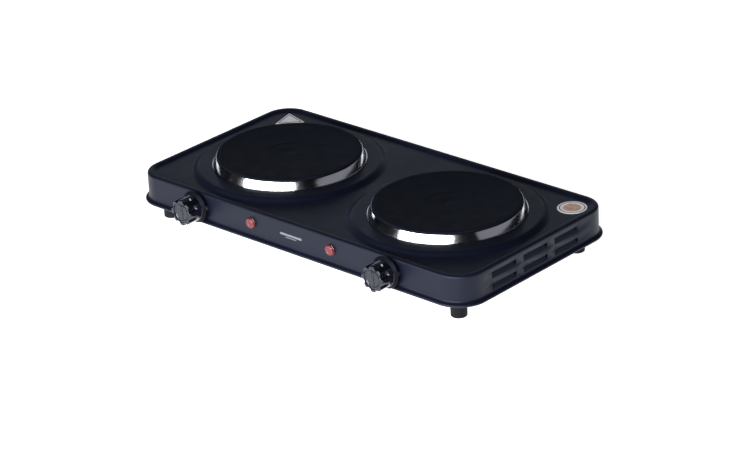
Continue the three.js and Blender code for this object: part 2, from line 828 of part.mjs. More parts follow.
function thermostatBody(name) {
  const front = -SHEET - GAP;
  const back = front - thermostat.depth;
  const { width, noseDepth, noseInset, noseHeight, screwOffset, tabLength, tabWidth, tabSheet } = thermostat;
  const low = baseTopZ + thermostat.floorGap - knobZ;
  const high = panelZ - SHEET - thermostat.panelGap - knobZ;
  const body = box([-width / 2, low, back], [width / 2, high, front - noseDepth]);
  const noseX = width / 2 - noseInset;
  const nose = box([-noseX, -noseHeight / 2, front - noseDepth - BITE], [noseX, noseHeight / 2, front]);
  const tabs = SIDES.map(([, side]) => {
    const x = side * width / 4;
    const [from, to] = [back - tabLength, back + BITE];
    return box([x - tabWidth / 2, -tabSheet / 2, from], [x + tabWidth / 2, tabSheet / 2, to]);
  });
  const bore = cylinder(shaft.radius + GAP, front - shaft.tail - 2 * GAP, front + THROUGH);
  const pilots = [-screwOffset, screwOffset].map((x) => cylinder(
    smallScrew.shankRadius + GAP, front - thermostat.pilotDepth, front + THROUGH, x, 0, TINY));
  return mesh(name, cut(join([body, nose, ...tabs]), [bore, ...pilots]), ceramic);
}

// One of the two screws that hold a thermostat to the front wall.
function thermostatScrew(name, offset) {
  const { shankRadius, headRadius, headHeight, slotWidth, slotDepth } = smallScrew;
  const seat = GAP;
  const tip = -SHEET - thermostat.screwBite;
  const body = turned([
    [0, tip],
    [shankRadius, tip],
    [shankRadius, seat],
    [headRadius, seat],
    [headRadius, seat + headHeight * 0.6],
    [headRadius * 0.7, seat + headHeight],
    [0, seat + headHeight],
  ], TINY);
  const reach = headRadius * 0.6;
  const slot = box(
    [-reach, -slotWidth / 2, seat + headHeight - slotDepth],
    [reach, slotWidth / 2, seat + headHeight + THROUGH]);
  const made = mesh(name, body.subtract(slot), zincSteel);
  made.position.x = offset;
  return made;
}

function control(name, side) {
  const still = [thermostatBody(`thermostat_${name}`)];
  [-thermostat.screwOffset, thermostat.screwOffset].forEach((offset, i) => {
    still.push(thermostatScrew(`thermostat_screw_${name}_${i + 1}`, offset));
  });
  const turning = [
    controlKnob(`knob_${name}`),
    spindle(`spindle_${name}`),
    knobSpring(`knob_spring_${name}`),
  ];
  return frontGroup(knobX(side), knobZ, [...still, ...turning]);
}

function lampLens(name) {
  const { radius, stand, neckRadius, neckLength, edge } = lamp;
  return mesh(name, turned([
    [0, -SHEET - neckLength],
    [neckRadius, -SHEET - neckLength],
    [neckRadius, GAP],
    [radius, GAP],
    [radius, stand - edge],
    [radius - edge, stand],
    [0, stand],
  ], SMALL), redLens);
}

function lampHolder(name) {
  const { neckRadius, neckLength, holderWall, holderLength } = lamp;
  const front = -SHEET - GAP;
  const bore = neckRadius + GAP;
  const outer = bore + holderWall;
  const bottom = -SHEET - neckLength - GAP;
  return mesh(name, turned([
    [0, front - holderLength],
    [outer, front - holderLength],
    [outer, front],
    [bore, front],
    [bore, bottom],
    [0, bottom],
  ], SMALL), whiteNylon);
}

function pilotLamp(name, side) {
  return frontGroup(lampX(side), lampZ, [lampLens(`lamp_lens_${name}`), lampHolder(`lamp_holder_${name}`)]);
}

// ---------------------------------------------------------------- inlet and terminals

// The bush that a cord would come in through, gripping the back wall between two lips.
function cordGland() {
  const { boreRadius, neckRadius, lipRadius, lip, lipEdge, backLip, backEdge } = gland;
  const made = mesh('cord_gland', turned([
    [boreRadius, -SHEET - GAP - backLip],
    [neckRadius + backEdge, -SHEET - GAP - backLip],
    [neckRadius + backEdge, -SHEET - GAP],
    [neckRadius, -SHEET - GAP],
    [neckRadius, GAP],
    [lipRadius, GAP],
    [lipRadius - lipEdge, GAP + lip],
    [boreRadius, GAP + lip],
    [boreRadius, -SHEET - GAP - backLip],
  ], SMALL), blackNylon);
  made.position.set(0, halfWidth, glandZ);
  made.rotation.x = -Math.PI / 2;
  return made;
}

const blockAt = { x: 0, y: halfWidth - SHEET - block.backGap - block.width / 2 };
const earthAt = { x: block.earthOffset, y: blockAt.y };
const terminalX = (i) => blockAt.x + i * block.length / 3;

function terminalBlock() {
  const bottom = baseTopZ + GAP;
  const top = bottom + block.height;
  const halfL = block.length / 2;
  const halfW = block.width / 2;
  const body = box(
    [blockAt.x - halfL, blockAt.y - halfW, bottom], [blockAt.x + halfL, blockAt.y + halfW, top]);
  const holes = [];
  const wireHeight = bottom + block.wireHeight;
  for (const i of [-1, 0, 1]) {
    const x = terminalX(i);
    const [from, to] = [blockAt.y - halfW - THROUGH, blockAt.y + halfW + THROUGH];
    holes.push(cylinderY(block.wireHole, from, to, x, wireHeight, TINY));
    for (const y of [-halfW / 2, halfW / 2]) {
      holes.push(cylinder(block.wireHole, wireHeight, top + THROUGH, x, blockAt.y + y, TINY));
    }
  }
  return mesh('terminal_block', cut(body, holes), whiteNylon);
}

// ---------------------------------------------------------------- wiring

// An insulated lead along a smooth curve through the given points.
function lead(name, route, sleeve) {
  const curve = new THREE.CatmullRomCurve3(route.map((p) => new THREE.Vector3(...p)), false, 'centripetal');
  const section = new THREE.Shape();
  for (let i = 0; i < wire.sides; i += 1) {
    const angle = (i / wire.sides) * Math.PI * 2;
    const [x, y] = [wire.radius * Math.cos(angle), wire.radius * Math.sin(angle)];
    if (i === 0) section.moveTo(x, y);
    else section.lineTo(x, y);
  }
  const geometry = new THREE.ExtrudeGeometry(section, { steps: 2 * route.length + 2, extrudePath: curve });
  return mesh(name, solid(geometry), sleeve);
}

// A point moved by a bend, outwards on the given side.
const bent = ([x, y, z], side, [outwards, back, up = 0]) => [x + side * outwards, y + back, z + up];

function wiring() {
  const leads = [];
  const tabY = -halfWidth + SHEET + GAP + thermostat.depth + thermostat.tabLength + wire.stop;
  const blockFront = blockAt.y - block.width / 2 - wire.stop;
  const blockWireZ = baseTopZ + GAP + block.wireHeight;
  const pinY = plate.shift + element.pinY;
  const lampBack = -halfWidth + SHEET + GAP + lamp.holderLength + wire.stop;
  const onFloor = ([x, y]) => [x, y, wireZ];
  const { live, element: heater, neutral, lamp: pilot } = bends;
  for (const [name, side] of SIDES) {
    const outerTab = [knobX(side) + side * thermostat.width / 4, tabY, knobZ];
    const innerTab = [knobX(side) - side * thermostat.width / 4, tabY, knobZ];
    const outerPin = [plateX(side) + side * element.pinSpacing / 2, pinY, pinBottomZ - wire.stop];
    const innerPin = [plateX(side) - side * element.pinSpacing / 2, pinY, pinBottomZ - wire.stop];
    const liveEnd = [terminalX(side), blockFront, blockWireZ];
    const neutralEnd = [0, blockFront, blockWireZ];
    const lampEnd = [lampX(side), lampBack, lampZ];
    leads.push(lead(`live_lead_${name}`, [
      liveEnd,
      onFloor(bent(liveEnd, side, live.block)),
      [innerTab[0] + side * live.acrossX, live.acrossY, wireZ],
      onFloor(bent(innerTab, side, live.tab)),
      bent(innerTab, side, live.rise),
      innerTab,
    ], sleeveBrown));
    leads.push(lead(`element_lead_${name}`, [
      outerTab,
      bent(outerTab, side, heater.tab),
      [outerTab[0] + side * heater.acrossX, heater.acrossY, wireZ],
      onFloor(bent(outerPin, side, heater.pin)),
      bent(outerPin, side, heater.drop),
      outerPin,
    ], sleeveBrown));
    leads.push(lead(`neutral_lead_${name}`, [
      innerPin,
      bent(innerPin, side, neutral.drop),
      bent(onFloor(innerPin), side, neutral.pin),
      bent(onFloor(neutralEnd), side, neutral.block),
      bent(onFloor(neutralEnd), side, neutral.gather),
      bent(neutralEnd, side, neutral.end),
    ], sleeveBlue));
    leads.push(lead(`lamp_lead_${name}`, [
      lampEnd,
      bent(lampEnd, side, pilot.back),
      [lampEnd[0] + side * pilot.across[0], lampBack + pilot.across[1], wireZ + pilot.across[2]],
      bent(onFloor(innerTab), side, pilot.tab),
      bent(innerTab, side, pilot.end),
    ], sleeveBlue));
  }
  return leads;
}

// ---------------------------------------------------------------- labels

const labelZ = panelZ + GAP;
const labelCorner = { x: halfLength - rimWidth, y: halfWidth - rimWidth };

// A plain triangular caution patch and a plain round seal, both without any lettering.
function triangleLabel() {
  const reach = label.triangleSide / Math.sqrt(3);
  const shape = new THREE.Shape();
  for (let i = 0; i < 3; i += 1) {
    const angle = Math.PI * 0.75 + (i * 2 * Math.PI) / 3;
    const [x, y] = [reach * Math.cos(angle), reach * Math.sin(angle)];
    if (i === 0) shape.moveTo(x, y);
    else shape.lineTo(x, y);
  }
  const made = mesh('caution_label', raised(shape, labelZ, labelZ + label.sheet), paper);
  const diagonal = reach * Math.SQRT1_2;
  const x = -labelCorner.x + label.apexInsetX + diagonal;
  made.position.set(x, labelCorner.y - label.apexInsetY - diagonal, 0);
  return made;
}

function roundLabel() {
  const disc = cylinder(label.roundRadius, labelZ, labelZ + label.sheet, 0, 0, MEDIUM);
  const made = mesh('round_label', disc, paper);
  const x = labelCorner.x - label.roundRadius - label.roundInsetX;
  made.position.set(x, labelCorner.y - label.roundRadius - label.roundInsetY, 0);
  return made;
}

// ---------------------------------------------------------------- assembly

function assembly() {
  const group = new THREE.Group();
  group.add(topHousing(), basePlate());
  for (const [name, sx, sy] of CORNERS) {
    group.add(rubberFoot(`foot_${name}`, sx * footX, sy * footY));
    group.add(screwUp(
      `foot_screw_${name}`, screw, foot.shoulder, baseTopZ + screw.tail, sx * footX, sy * footY));
    group.add(screwUp(
      `base_screw_${name}`, smallScrew, baseZ, baseTopZ + smallScrew.tail, sx * lugX, sy * lugY));
  }
  for (const [name, side] of SIDES) {
    const x = plateX(side);
    group.add(hotPlate(`hotplate_${name}`, x));
    group.add(trimRing(`trim_ring_${name}`, x));
    group.add(heatingElement(`heating_element_${name}`, x));
    group.add(platePan(`plate_pan_${name}`, x));
    group.add(clampStrap(`clamp_strap_${name}`, x));
    group.add(centreStud(`centre_stud_${name}`, x));
    group.add(centreNut(`centre_nut_${name}`, x));
    group.add(control(name, side));
    group.add(pilotLamp(name, side));
  }
  group.add(cordGland(), terminalBlock());
  group.add(screwUp('earth_screw', smallScrew, baseZ, baseTopZ + smallScrew.tail, earthAt.x, earthAt.y));
  group.add(...wiring());
  group.add(triangleLabel(), roundLabel());
  return group;
}

// The knobs stand out at the front and the flange at the back, so the housing sits behind the origin.
const root = new THREE.Group();
const parts = assembly();
parts.position.y = (knobFace - housing.flangeOverhang) / 2;
root.add(parts);

export default root;
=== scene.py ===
"""A two-plate electric hot plate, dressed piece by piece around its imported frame.

Every size is in metres. Places come from the boxes of the frame's own nodes, so each fine piece lies
where its plain solid does. +Z is up and the controls face -Y.
"""

from __future__ import annotations

import json
import logging
import math
from collections.abc import Callable, Sequence
from dataclasses import dataclass, field
from enum import Enum

import bmesh
import bpy
from mathutils import Matrix, Vector


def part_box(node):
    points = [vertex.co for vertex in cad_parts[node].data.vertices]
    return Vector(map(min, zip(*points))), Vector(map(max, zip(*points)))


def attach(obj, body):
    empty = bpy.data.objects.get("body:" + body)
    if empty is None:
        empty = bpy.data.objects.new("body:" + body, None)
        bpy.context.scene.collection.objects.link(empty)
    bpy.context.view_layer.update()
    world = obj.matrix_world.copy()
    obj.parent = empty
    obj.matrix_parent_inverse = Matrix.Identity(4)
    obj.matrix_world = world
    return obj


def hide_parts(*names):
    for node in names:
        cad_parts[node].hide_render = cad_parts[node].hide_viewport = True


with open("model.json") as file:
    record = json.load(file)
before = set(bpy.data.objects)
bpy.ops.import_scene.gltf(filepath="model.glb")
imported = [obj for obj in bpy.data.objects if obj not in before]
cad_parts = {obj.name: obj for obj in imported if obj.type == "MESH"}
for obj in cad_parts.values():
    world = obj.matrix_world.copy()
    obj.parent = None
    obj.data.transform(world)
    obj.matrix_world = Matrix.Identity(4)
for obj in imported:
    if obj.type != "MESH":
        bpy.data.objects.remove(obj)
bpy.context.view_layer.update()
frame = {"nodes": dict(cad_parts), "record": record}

MM = 0.001
HOUSING = "housing"
SIDES = (("left", -1), ("right", 1))
CORNERS = ("front_left", "front_right", "rear_left", "rear_right")

log = logging.getLogger("hot_plate")

Point = tuple[float, float]
Space = tuple[float, float, float]
Colour = tuple[float, float, float]


# ------------------------------------------------------------------ small geometry tools


class Facing(Enum):
    """Which way a turned piece's axis points; each value takes local axes to the frame's."""

    UP = Matrix(((1, 0, 0), (0, 1, 0), (0, 0, 1)))
    DOWN = Matrix(((1, 0, 0), (0, -1, 0), (0, 0, -1)))
    FRONT = Matrix(((1, 0, 0), (0, 0, -1), (0, 1, 0)))
    BACK = Matrix(((1, 0, 0), (0, 0, 1), (0, -1, 0)))

    def place(self, origin: Vector) -> Matrix:
        """The matrix that turns a piece this way and moves it to a place."""
        return Matrix.Translation(origin) @ self.value.to_4x4()


def smooth_step(share: float) -> float:
    """A soft rise from 0 to 1 as the share goes from 0 to 1."""
    held = min(1.0, max(0.0, share))
    return held * held * (3.0 - 2.0 * held)


def arc(centre: Point, radius: float, start: float, end: float, steps: int) -> list[Point]:
    """Points along a circular arc.

    Args:
        centre: The arc's centre.
        radius: Its radius.
        start: First angle, in degrees.
        end: Last angle, in degrees.
        steps: How many straight pieces stand for it.

    Returns:
        steps + 1 points, both ends included.
    """
    angles = [math.radians(start + (end - start) * i / steps) for i in range(steps + 1)]
    return [(centre[0] + radius * math.cos(a), centre[1] + radius * math.sin(a)) for a in angles]


def node_centre(node: str) -> Vector:
    """The middle of a frame node's box."""
    low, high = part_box(node)
    return (Vector(low) + Vector(high)) / 2


def turned(profile: Sequence[Point], segments: int = 96) -> bmesh.types.BMesh:
    """Turns an outline about local Z.

    Args:
        profile: (radius, height) points, counterclockwise round the section seen with the axis on the
            left. A point on the axis becomes a pole. An outline whose ends meet makes a ring.
        segments: Facets in a full turn.

    Returns:
        The closed mesh.
    """
    made = bmesh.new()
    closed = profile[0] == profile[-1]
    outline = profile[:-1] if closed else profile
    rings = []
    for radius, height in outline:
        if radius <= 1e-9:
            rings.append([made.verts.new((0, 0, height))] * segments)
            continue
        turn = [2 * math.pi * i / segments for i in range(segments)]
        rings.append([made.verts.new((radius * math.cos(t), radius * math.sin(t), height)) for t in turn])
    pairs = list(zip(rings, rings[1:]))
    if closed:
        pairs.append((rings[-1], rings[0]))
    for low, high in pairs:
        for i in range(segments):
            j = (i + 1) % segments
            corners = list(dict.fromkeys((low[i], low[j], high[j], high[i])))
            if len(corners) > 2:
                made.faces.new(corners)
    return made


def finished_mesh(made: bmesh.types.BMesh, name: str, place: Matrix | None = None,
                  sharp_angle: float = 32.0) -> bpy.types.Mesh:
    """Turns a working mesh into mesh data with soft shading between its shallow edges.

    Args:
        made: The working mesh, which is freed.
        name: The name of the new data.
        place: Where it goes; its own coordinates by default.
        sharp_angle: Edges steeper than this, in degrees, stay crisp.

    Returns:
        The new mesh data.
    """
    if place is not None:
        bmesh.ops.transform(made, matrix=place, verts=made.verts)
    data = bpy.data.meshes.new(name)
    made.to_mesh(data)
    made.free()
    data.shade_smooth()
    data.set_sharp_from_angle(angle=math.radians(sharp_angle))
    return data


def add_piece(name: str, data: bpy.types.Mesh, finish: bpy.types.Material | Sequence[bpy.types.Material],
              body: str = HOUSING, stands_for: Sequence[str] = ()) -> bpy.types.Object:
    """Puts a mesh in the scene as a piece of the object.

    Args:
        name: The piece's name.
        data: Its mesh, already in place.
        finish: Its material, or several in the order of its faces' material numbers.
        body: The body that it moves with.
        stands_for: The frame nodes that it takes the place of.

    Returns:
        The new object.
    """
    piece = bpy.data.objects.new(name, data)
    bpy.context.scene.collection.objects.link(piece)
    finishes = [finish] if isinstance(finish, bpy.types.Material) else finish
    if not data.materials:
        for material in finishes:
            data.materials.append(material)
    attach(piece, body)
    if stands_for:
        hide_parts(*stands_for)
    log.info("%s: %d faces on %s", name, len(data.polygons), body)
    return piece


# ------------------------------------------------------------------ finishes


class Graph:
    """Builds the nodes of one material round a Principled shader."""

    def __init__(self, name: str) -> None:
        """Starts an empty material with a shader and an output.

        Args:
            name: The name of the material.
        """
        self.material = bpy.data.materials.new(name)
        self.material.use_nodes = True
        self.tree = self.material.node_tree
        self.tree.nodes.clear()
        self.shader = self.tree.nodes.new("ShaderNodeBsdfPrincipled")
        output = self.tree.nodes.new("ShaderNodeOutputMaterial")
        self.link(self.shader.outputs["BSDF"], output.inputs["Surface"])

    def link(self, start: bpy.types.NodeSocket, end: bpy.types.NodeSocket) -> None:
        """Joins two sockets."""
        self.tree.links.new(start, end)

    def node(self, kind: str, **values: object) -> bpy.types.Node:
        """Adds a node.

        Args:
            kind: The node's type, without its ShaderNode prefix.
            **values: Input values by socket name, with _ for a space; names in small letters are the
                node's own properties.

        Returns:
            The new node.
        """
        made = self.tree.nodes.new("ShaderNode" + kind)
        for key, value in values.items():
            if key[0].islower():
                setattr(made, key, value)
            else:
                made.inputs[key.replace("_", " ")].default_value = value
        return made

    def coordinates(self, centre: Space = (0, 0, 0), scale: Space = (1, 1, 1)) -> bpy.types.NodeSocket:
        """Object coordinates, centred on a place of the object and stretched.

        Args:
            centre: The place that becomes their zero.
            scale: How much they are stretched along each axis.

        Returns:
            The socket that gives them.
        """
        source = self.node("TexCoord")
        mapping = self.node("Mapping", vector_type="POINT", Scale=scale)
        mapping.inputs["Location"].default_value = [-c * s for c, s in zip(centre, scale)]
        self.link(source.outputs["Object"], mapping.inputs["Vector"])
        return mapping.outputs["Vector"]

    def noise(self, where: bpy.types.NodeSocket, scale: float, detail: float = 3.0,
              roughness: float = 0.55) -> bpy.types.NodeSocket:
        """A noise pattern's grey value.

        Args:
            where: The coordinates.
            scale: How fine it is.
            detail: How many finer layers it has.
            roughness: How strong those layers are.

        Returns:
            The pattern's socket.
        """
        made = self.node("TexNoise", Scale=scale, Detail=detail, Roughness=roughness)
        self.link(where, made.inputs["Vector"])
        return made.outputs["Fac"]

    def between(self, source: bpy.types.NodeSocket, low: float, high: float, start: float = 0.3,
                end: float = 0.7) -> bpy.types.NodeSocket:
        """A grey pattern stretched between two values.

        Args:
            source: The pattern.
            low: What start becomes.
            high: What end becomes.
            start: A value of the pattern.
            end: Another.

        Returns:
            The new pattern's socket.
        """
        made = self.node("MapRange", From_Min=start, From_Max=end, To_Min=low, To_Max=high)
        self.link(source, made.inputs["Value"])
        return made.outputs["Result"]

    def colours(self, source: bpy.types.NodeSocket,
                stops: Sequence[tuple[float, Colour]]) -> bpy.types.NodeSocket:
        """A grey pattern turned into colours.

        Args:
            source: The pattern.
            stops: Each place on the grey scale with its colour.

        Returns:
            The colours' socket.
        """
        ramp = self.node("ValToRGB")
        elements = ramp.color_ramp.elements
        while len(elements) < len(stops):
            elements.new(0.5)
        for element, (position, colour) in zip(elements, stops):
            element.position = position
            element.color = (*colour, 1.0)
        self.link(source, ramp.inputs["Fac"])
        return ramp.outputs["Color"]

    def add_bump(self, height: bpy.types.NodeSocket, strength: float, distance: float) -> None:
        """Adds relief to the shader, over any relief that it already has.

        Args:
            height: The pattern that gives the relief.
            strength: How strongly it shows.
            distance: How high it stands, in metres.
        """
        bump = self.node("Bump", Strength=strength, Distance=distance)
        self.link(height, bump.inputs["Height"])
        normal = self.shader.inputs["Normal"]
        if normal.is_linked:
            self.link(normal.links[0].from_socket, bump.inputs["Normal"])
        self.link(bump.outputs["Normal"], normal)

    def set(self, name: str, value: object) -> None:
        """Sets one of the shader's own values."""
        self.shader.inputs[name].default_value = value


@dataclass(frozen=True)
class Finish:
    """A surface with mottled colour, uneven gloss and a fine grain."""

    name: str
    dark: Colour
    light: Colour
    mottle: float = 40.0  # patches per metre
    gloss: tuple[float, float] = (0.4, 0.5)  # least and greatest roughness
    gloss_scale: float = 90.0
    grain: float = 1500.0
    grain_depth: float = 0.02 * MM
    grain_strength: float = 0.3
    metal: float = 0.0
    specular: float = 0.5
    tint: Colour = (1.0, 1.0, 1.0)  # of the gloss
    coat: float = 0.0
    coat_roughness: float = 0.1
    centre: Space = (0, 0, 0)

    def make(self) -> bpy.types.Material:
        """Builds the material.

        Returns:
            The new material.
        """
        graph = Graph(self.name)
        where = graph.coordinates(self.centre)
        patches = graph.noise(where, self.mottle)
        stops = ((0.3, self.dark), (0.7, self.light))
        graph.link(graph.colours(patches, stops), graph.shader.inputs["Base Color"])
        smears = graph.noise(where, self.gloss_scale, 4.0)
        graph.link(graph.between(smears, *self.gloss), graph.shader.inputs["Roughness"])
        graph.add_bump(graph.noise(where, self.grain, 2.0), self.grain_strength, self.grain_depth)
        graph.set("Metallic", self.metal)
        graph.set("Specular IOR Level", self.specular)
        graph.set("Specular Tint", (*self.tint, 1.0))
        if self.coat:
            graph.set("Coat Weight", self.coat)
            graph.set("Coat Roughness", self.coat_roughness)
        self.add_detail(graph, where)
        return graph.material

    def add_detail(self, graph: Graph, where: bpy.types.NodeSocket) -> None:
        """Adds what is special to a finish; nothing for a plain one."""


@dataclass(frozen=True)
class StoveEnamel(Finish):
    """Sprayed and baked enamel, with a faint orange peel and specks of dust."""

    peel: float = 260.0
    speck: float = 2600.0

    def add_detail(self, graph: Graph, where: bpy.types.NodeSocket) -> None:
        """Adds the orange peel and the specks.

        Args:
            graph: The nodes of the material.
            where: The coordinates that its patterns use.
        """
        graph.add_bump(graph.noise(where, self.peel, 1.0), 0.25, 0.05 * MM)
        specks = graph.node("TexVoronoi", Scale=self.speck)
        graph.link(where, specks.inputs["Vector"])
        raised = graph.between(specks.outputs["Distance"], 1.0, 0.0, 0.0, 0.12)
        graph.add_bump(raised, 0.15, 0.02 * MM)


@dataclass(frozen=True)
class TurnedIron(Finish):
    """Cast iron with fine turning marks round its centre under a matt coating."""

    groove_pitch: float = 1.15 * MM
    groove_depth: float = 0.03 * MM
    groove_strength: float = 0.5

    def add_detail(self, graph: Graph, where: bpy.types.NodeSocket) -> None:
        """Adds the turning marks and the pores of the casting.

        Args:
            graph: The nodes of the material.
            where: The coordinates that its patterns use.
        """
        rings = graph.node("TexWave", wave_type="RINGS", rings_direction="Z", Distortion=0.25,
                           Scale=math.pi / (10 * self.groove_pitch), Detail=1.0)
        graph.link(where, rings.inputs["Vector"])
        graph.add_bump(rings.outputs["Fac"], self.groove_strength, self.groove_depth)
        pores = graph.node("TexVoronoi", Scale=900.0, Randomness=1.0)
        graph.link(where, pores.inputs["Vector"])
        graph.add_bump(graph.between(pores.outputs["Distance"], 0.0, 1.0, 0.05, 0.3), 0.2, 0.04 * MM)


@dataclass(frozen=True)
class SpunMetal(Finish):
    """Metal polished or rolled round one axis, which leaves hairlines."""

    hairline: float = 2200.0
    hairline_strength: float = 0.06

    def add_detail(self, graph: Graph, where: bpy.types.NodeSocket) -> None:
        """Adds hairlines that run round the axis.

        Args:
            graph: The nodes of the material.
            where: The coordinates that its patterns use.
        """
        lines = graph.node("TexWave", wave_type="BANDS", bands_direction="Z", Distortion=4.0,
                           Scale=self.hairline, Detail=2.0)
        graph.link(where, lines.inputs["Vector"])
        graph.add_bump(lines.outputs["Fac"], self.hairline_strength, 0.01 * MM)


@dataclass(frozen=True)
class ZincPlate(Finish):
    """Zinc-plated sheet with faint crystals and rolling lines."""

    crystal: float = 160.0

    def add_detail(self, graph: Graph, where: bpy.types.NodeSocket) -> None:
        """Adds the crystals' colour and the rolling lines.

        Args:
            graph: The nodes of the material.
            where: The coordinates that its patterns use.
        """
        crystals = graph.node("TexVoronoi", Scale=self.crystal, Randomness=1.0)
        graph.link(where, crystals.inputs["Vector"])
        grey = graph.node("RGBToBW")
        graph.link(crystals.outputs["Color"], grey.inputs["Color"])
        stops = ((0.2, self.dark), (0.8, self.light))
        graph.link(graph.colours(grey.outputs["Val"], stops), graph.shader.inputs["Base Color"])
        lines = graph.noise(graph.coordinates(scale=(20.0, 900.0, 20.0)), 1.0)
        graph.add_bump(lines, 0.15, 0.02 * MM)


@dataclass(frozen=True)
class Woven(Finish):
    """A glass-fibre sleeve with a woven surface."""

    thread: float = 1400.0

    def add_detail(self, graph: Graph, where: bpy.types.NodeSocket) -> None:
        """Adds the crossing threads.

        Args:
            graph: The nodes of the material.
            where: The coordinates that its patterns use.
        """
        for direction in ("DIAGONAL", "Z"):
            threads = graph.node("TexWave", wave_type="BANDS", bands_direction=direction,
                                 Scale=self.thread / 6)
            graph.link(where, threads.inputs["Vector"])
            graph.add_bump(threads.outputs["Fac"], 0.4, 0.1 * MM)


@dataclass
class Finishes:
    """Every finish of the object, made once; those with turning marks are made for each plate."""

    enamel: StoveEnamel = StoveEnamel(
        "stove_enamel", (0.0032, 0.0044, 0.0112), (0.0046, 0.0060, 0.0148), mottle=14, gloss=(0.38, 0.46),
        gloss_scale=30, grain=1900, grain_strength=0.2, specular=0.27, tint=(0.78, 0.84, 1.0))
    iron: TurnedIron = TurnedIron(
        "coated_iron", (0.0028, 0.0038, 0.0078), (0.0044, 0.0056, 0.0106), mottle=55, gloss=(0.60, 0.70),
        gloss_scale=60, grain=1300, grain_strength=0.3, specular=0.11, tint=(0.72, 0.84, 1.0))
    chrome: SpunMetal = SpunMetal(
        "bright_chrome", (0.70, 0.71, 0.75), (0.82, 0.83, 0.86), mottle=30, gloss=(0.10, 0.17),
        gloss_scale=70, grain=700, grain_strength=0.03, metal=1.0)
    bakelite: Finish = Finish(
        "black_bakelite", (0.0028, 0.0034, 0.0064), (0.0048, 0.0056, 0.0102), mottle=300, gloss=(0.10, 0.24),
        gloss_scale=260, grain=900, grain_strength=0.12, grain_depth=0.05 * MM, specular=0.5, coat=0.45,
        coat_roughness=0.06, tint=(0.74, 0.80, 1.0))
    matt_bakelite: Finish = Finish(
        "matt_bakelite", (0.0035, 0.0038, 0.006), (0.006, 0.0065, 0.010), mottle=300, gloss=(0.42, 0.55),
        gloss_scale=260, grain=1300, grain_strength=0.4, grain_depth=0.05 * MM, specular=0.07,
        tint=(0.82, 0.86, 1.0))
    lamp_red: Finish = Finish(
        "lamp_red", (0.085, 0.003, 0.006), (0.155, 0.006, 0.012), mottle=350, gloss=(0.14, 0.26),
        gloss_scale=500, grain=1600, grain_strength=0.12, coat=0.5, coat_roughness=0.08)
    rubber: Finish = Finish(
        "foot_rubber", (0.003, 0.0035, 0.006), (0.006, 0.0065, 0.0095), mottle=220, gloss=(0.62, 0.8),
        grain=1100, grain_strength=0.6, grain_depth=0.08 * MM, specular=0.14)
    zinc: ZincPlate = ZincPlate(
        "zinc_plate", (0.30, 0.31, 0.32), (0.46, 0.47, 0.48), gloss=(0.30, 0.46), metal=1.0)
    ceramic: Finish = Finish(
        "steatite", (0.60, 0.56, 0.48), (0.74, 0.70, 0.62), mottle=120, gloss=(0.55, 0.75), grain=800,
        grain_strength=0.6, grain_depth=0.08 * MM)
    white_nylon: Finish = Finish(
        "white_nylon", (0.62, 0.61, 0.57), (0.72, 0.71, 0.68), mottle=90, gloss=(0.38, 0.52), grain=1200)
    black_nylon: Finish = Finish(
        "black_nylon", (0.010, 0.010, 0.012), (0.019, 0.019, 0.022), mottle=120, gloss=(0.38, 0.55),
        grain=1300, grain_strength=0.5, grain_depth=0.05 * MM)
    sleeve_brown: Woven = Woven("sleeve_brown", (0.10, 0.035, 0.014), (0.19, 0.075, 0.03), mottle=300,
                                gloss=(0.6, 0.8))
    sleeve_blue: Woven = Woven("sleeve_blue", (0.02, 0.06, 0.20), (0.045, 0.12, 0.34), mottle=300,
                               gloss=(0.6, 0.8))
    film: Finish = Finish(
        "label_film", (0.78, 0.77, 0.80), (0.90, 0.89, 0.92), mottle=260, gloss=(0.25, 0.42), grain=500,
        grain_strength=0.2, grain_depth=0.05 * MM)
    ink: Finish = Finish("label_ink", (0.02, 0.02, 0.03), (0.045, 0.045, 0.06), mottle=700, gloss=(0.4, 0.6))
    copper: Finish = Finish(
        "label_copper", (0.42, 0.20, 0.12), (0.76, 0.52, 0.40), mottle=420, gloss=(0.25, 0.45))
    print_white: Finish = Finish(
        "screen_print", (0.10, 0.11, 0.15), (0.18, 0.19, 0.24), mottle=900, gloss=(0.4, 0.55))
    made: dict[str, bpy.types.Material] = field(default_factory=dict)

    def get(self, finish: Finish) -> bpy.types.Material:
        """The material of a finish, built the first time that it is asked for.

        Args:
            finish: The finish.

        Returns:
            Its one material.
        """
        if finish.name not in self.made:
            self.made[finish.name] = finish.make()
        return self.made[finish.name]

    def centred(self, kind: type[Finish], base: Finish, name: str, centre: Vector) -> bpy.types.Material:
        """A copy of a finish whose marks run round a given centre.

        Args:
            kind: The class of the finish.
            base: The finish to copy.
            name: What sets the copy apart.
            centre: The middle of its marks.

        Returns:
            The copy's material.
        """
        values = {key: getattr(base, key) for key in base.__dataclass_fields__}
        values.update(name=f"{base.name}_{name}", centre=tuple(centre))
        return self.get(kind(**values))

    def by_slot(self) -> dict[str, bpy.types.Material]:
        """The material of each of the record's slots, for the nodes that stay as they are.

        Returns:
            Each material by the name of its slot.
        """
        return {
            "zinc_steel": self.get(self.zinc),
            "ceramic": self.get(self.ceramic),
            "white_nylon": self.get(self.white_nylon),
            "black_nylon": self.get(self.black_nylon),
            "sleeve_brown": self.get(self.sleeve_brown),
            "sleeve_blue": self.get(self.sleeve_blue),
        }


# ------------------------------------------------------------------ node trees for what repeats


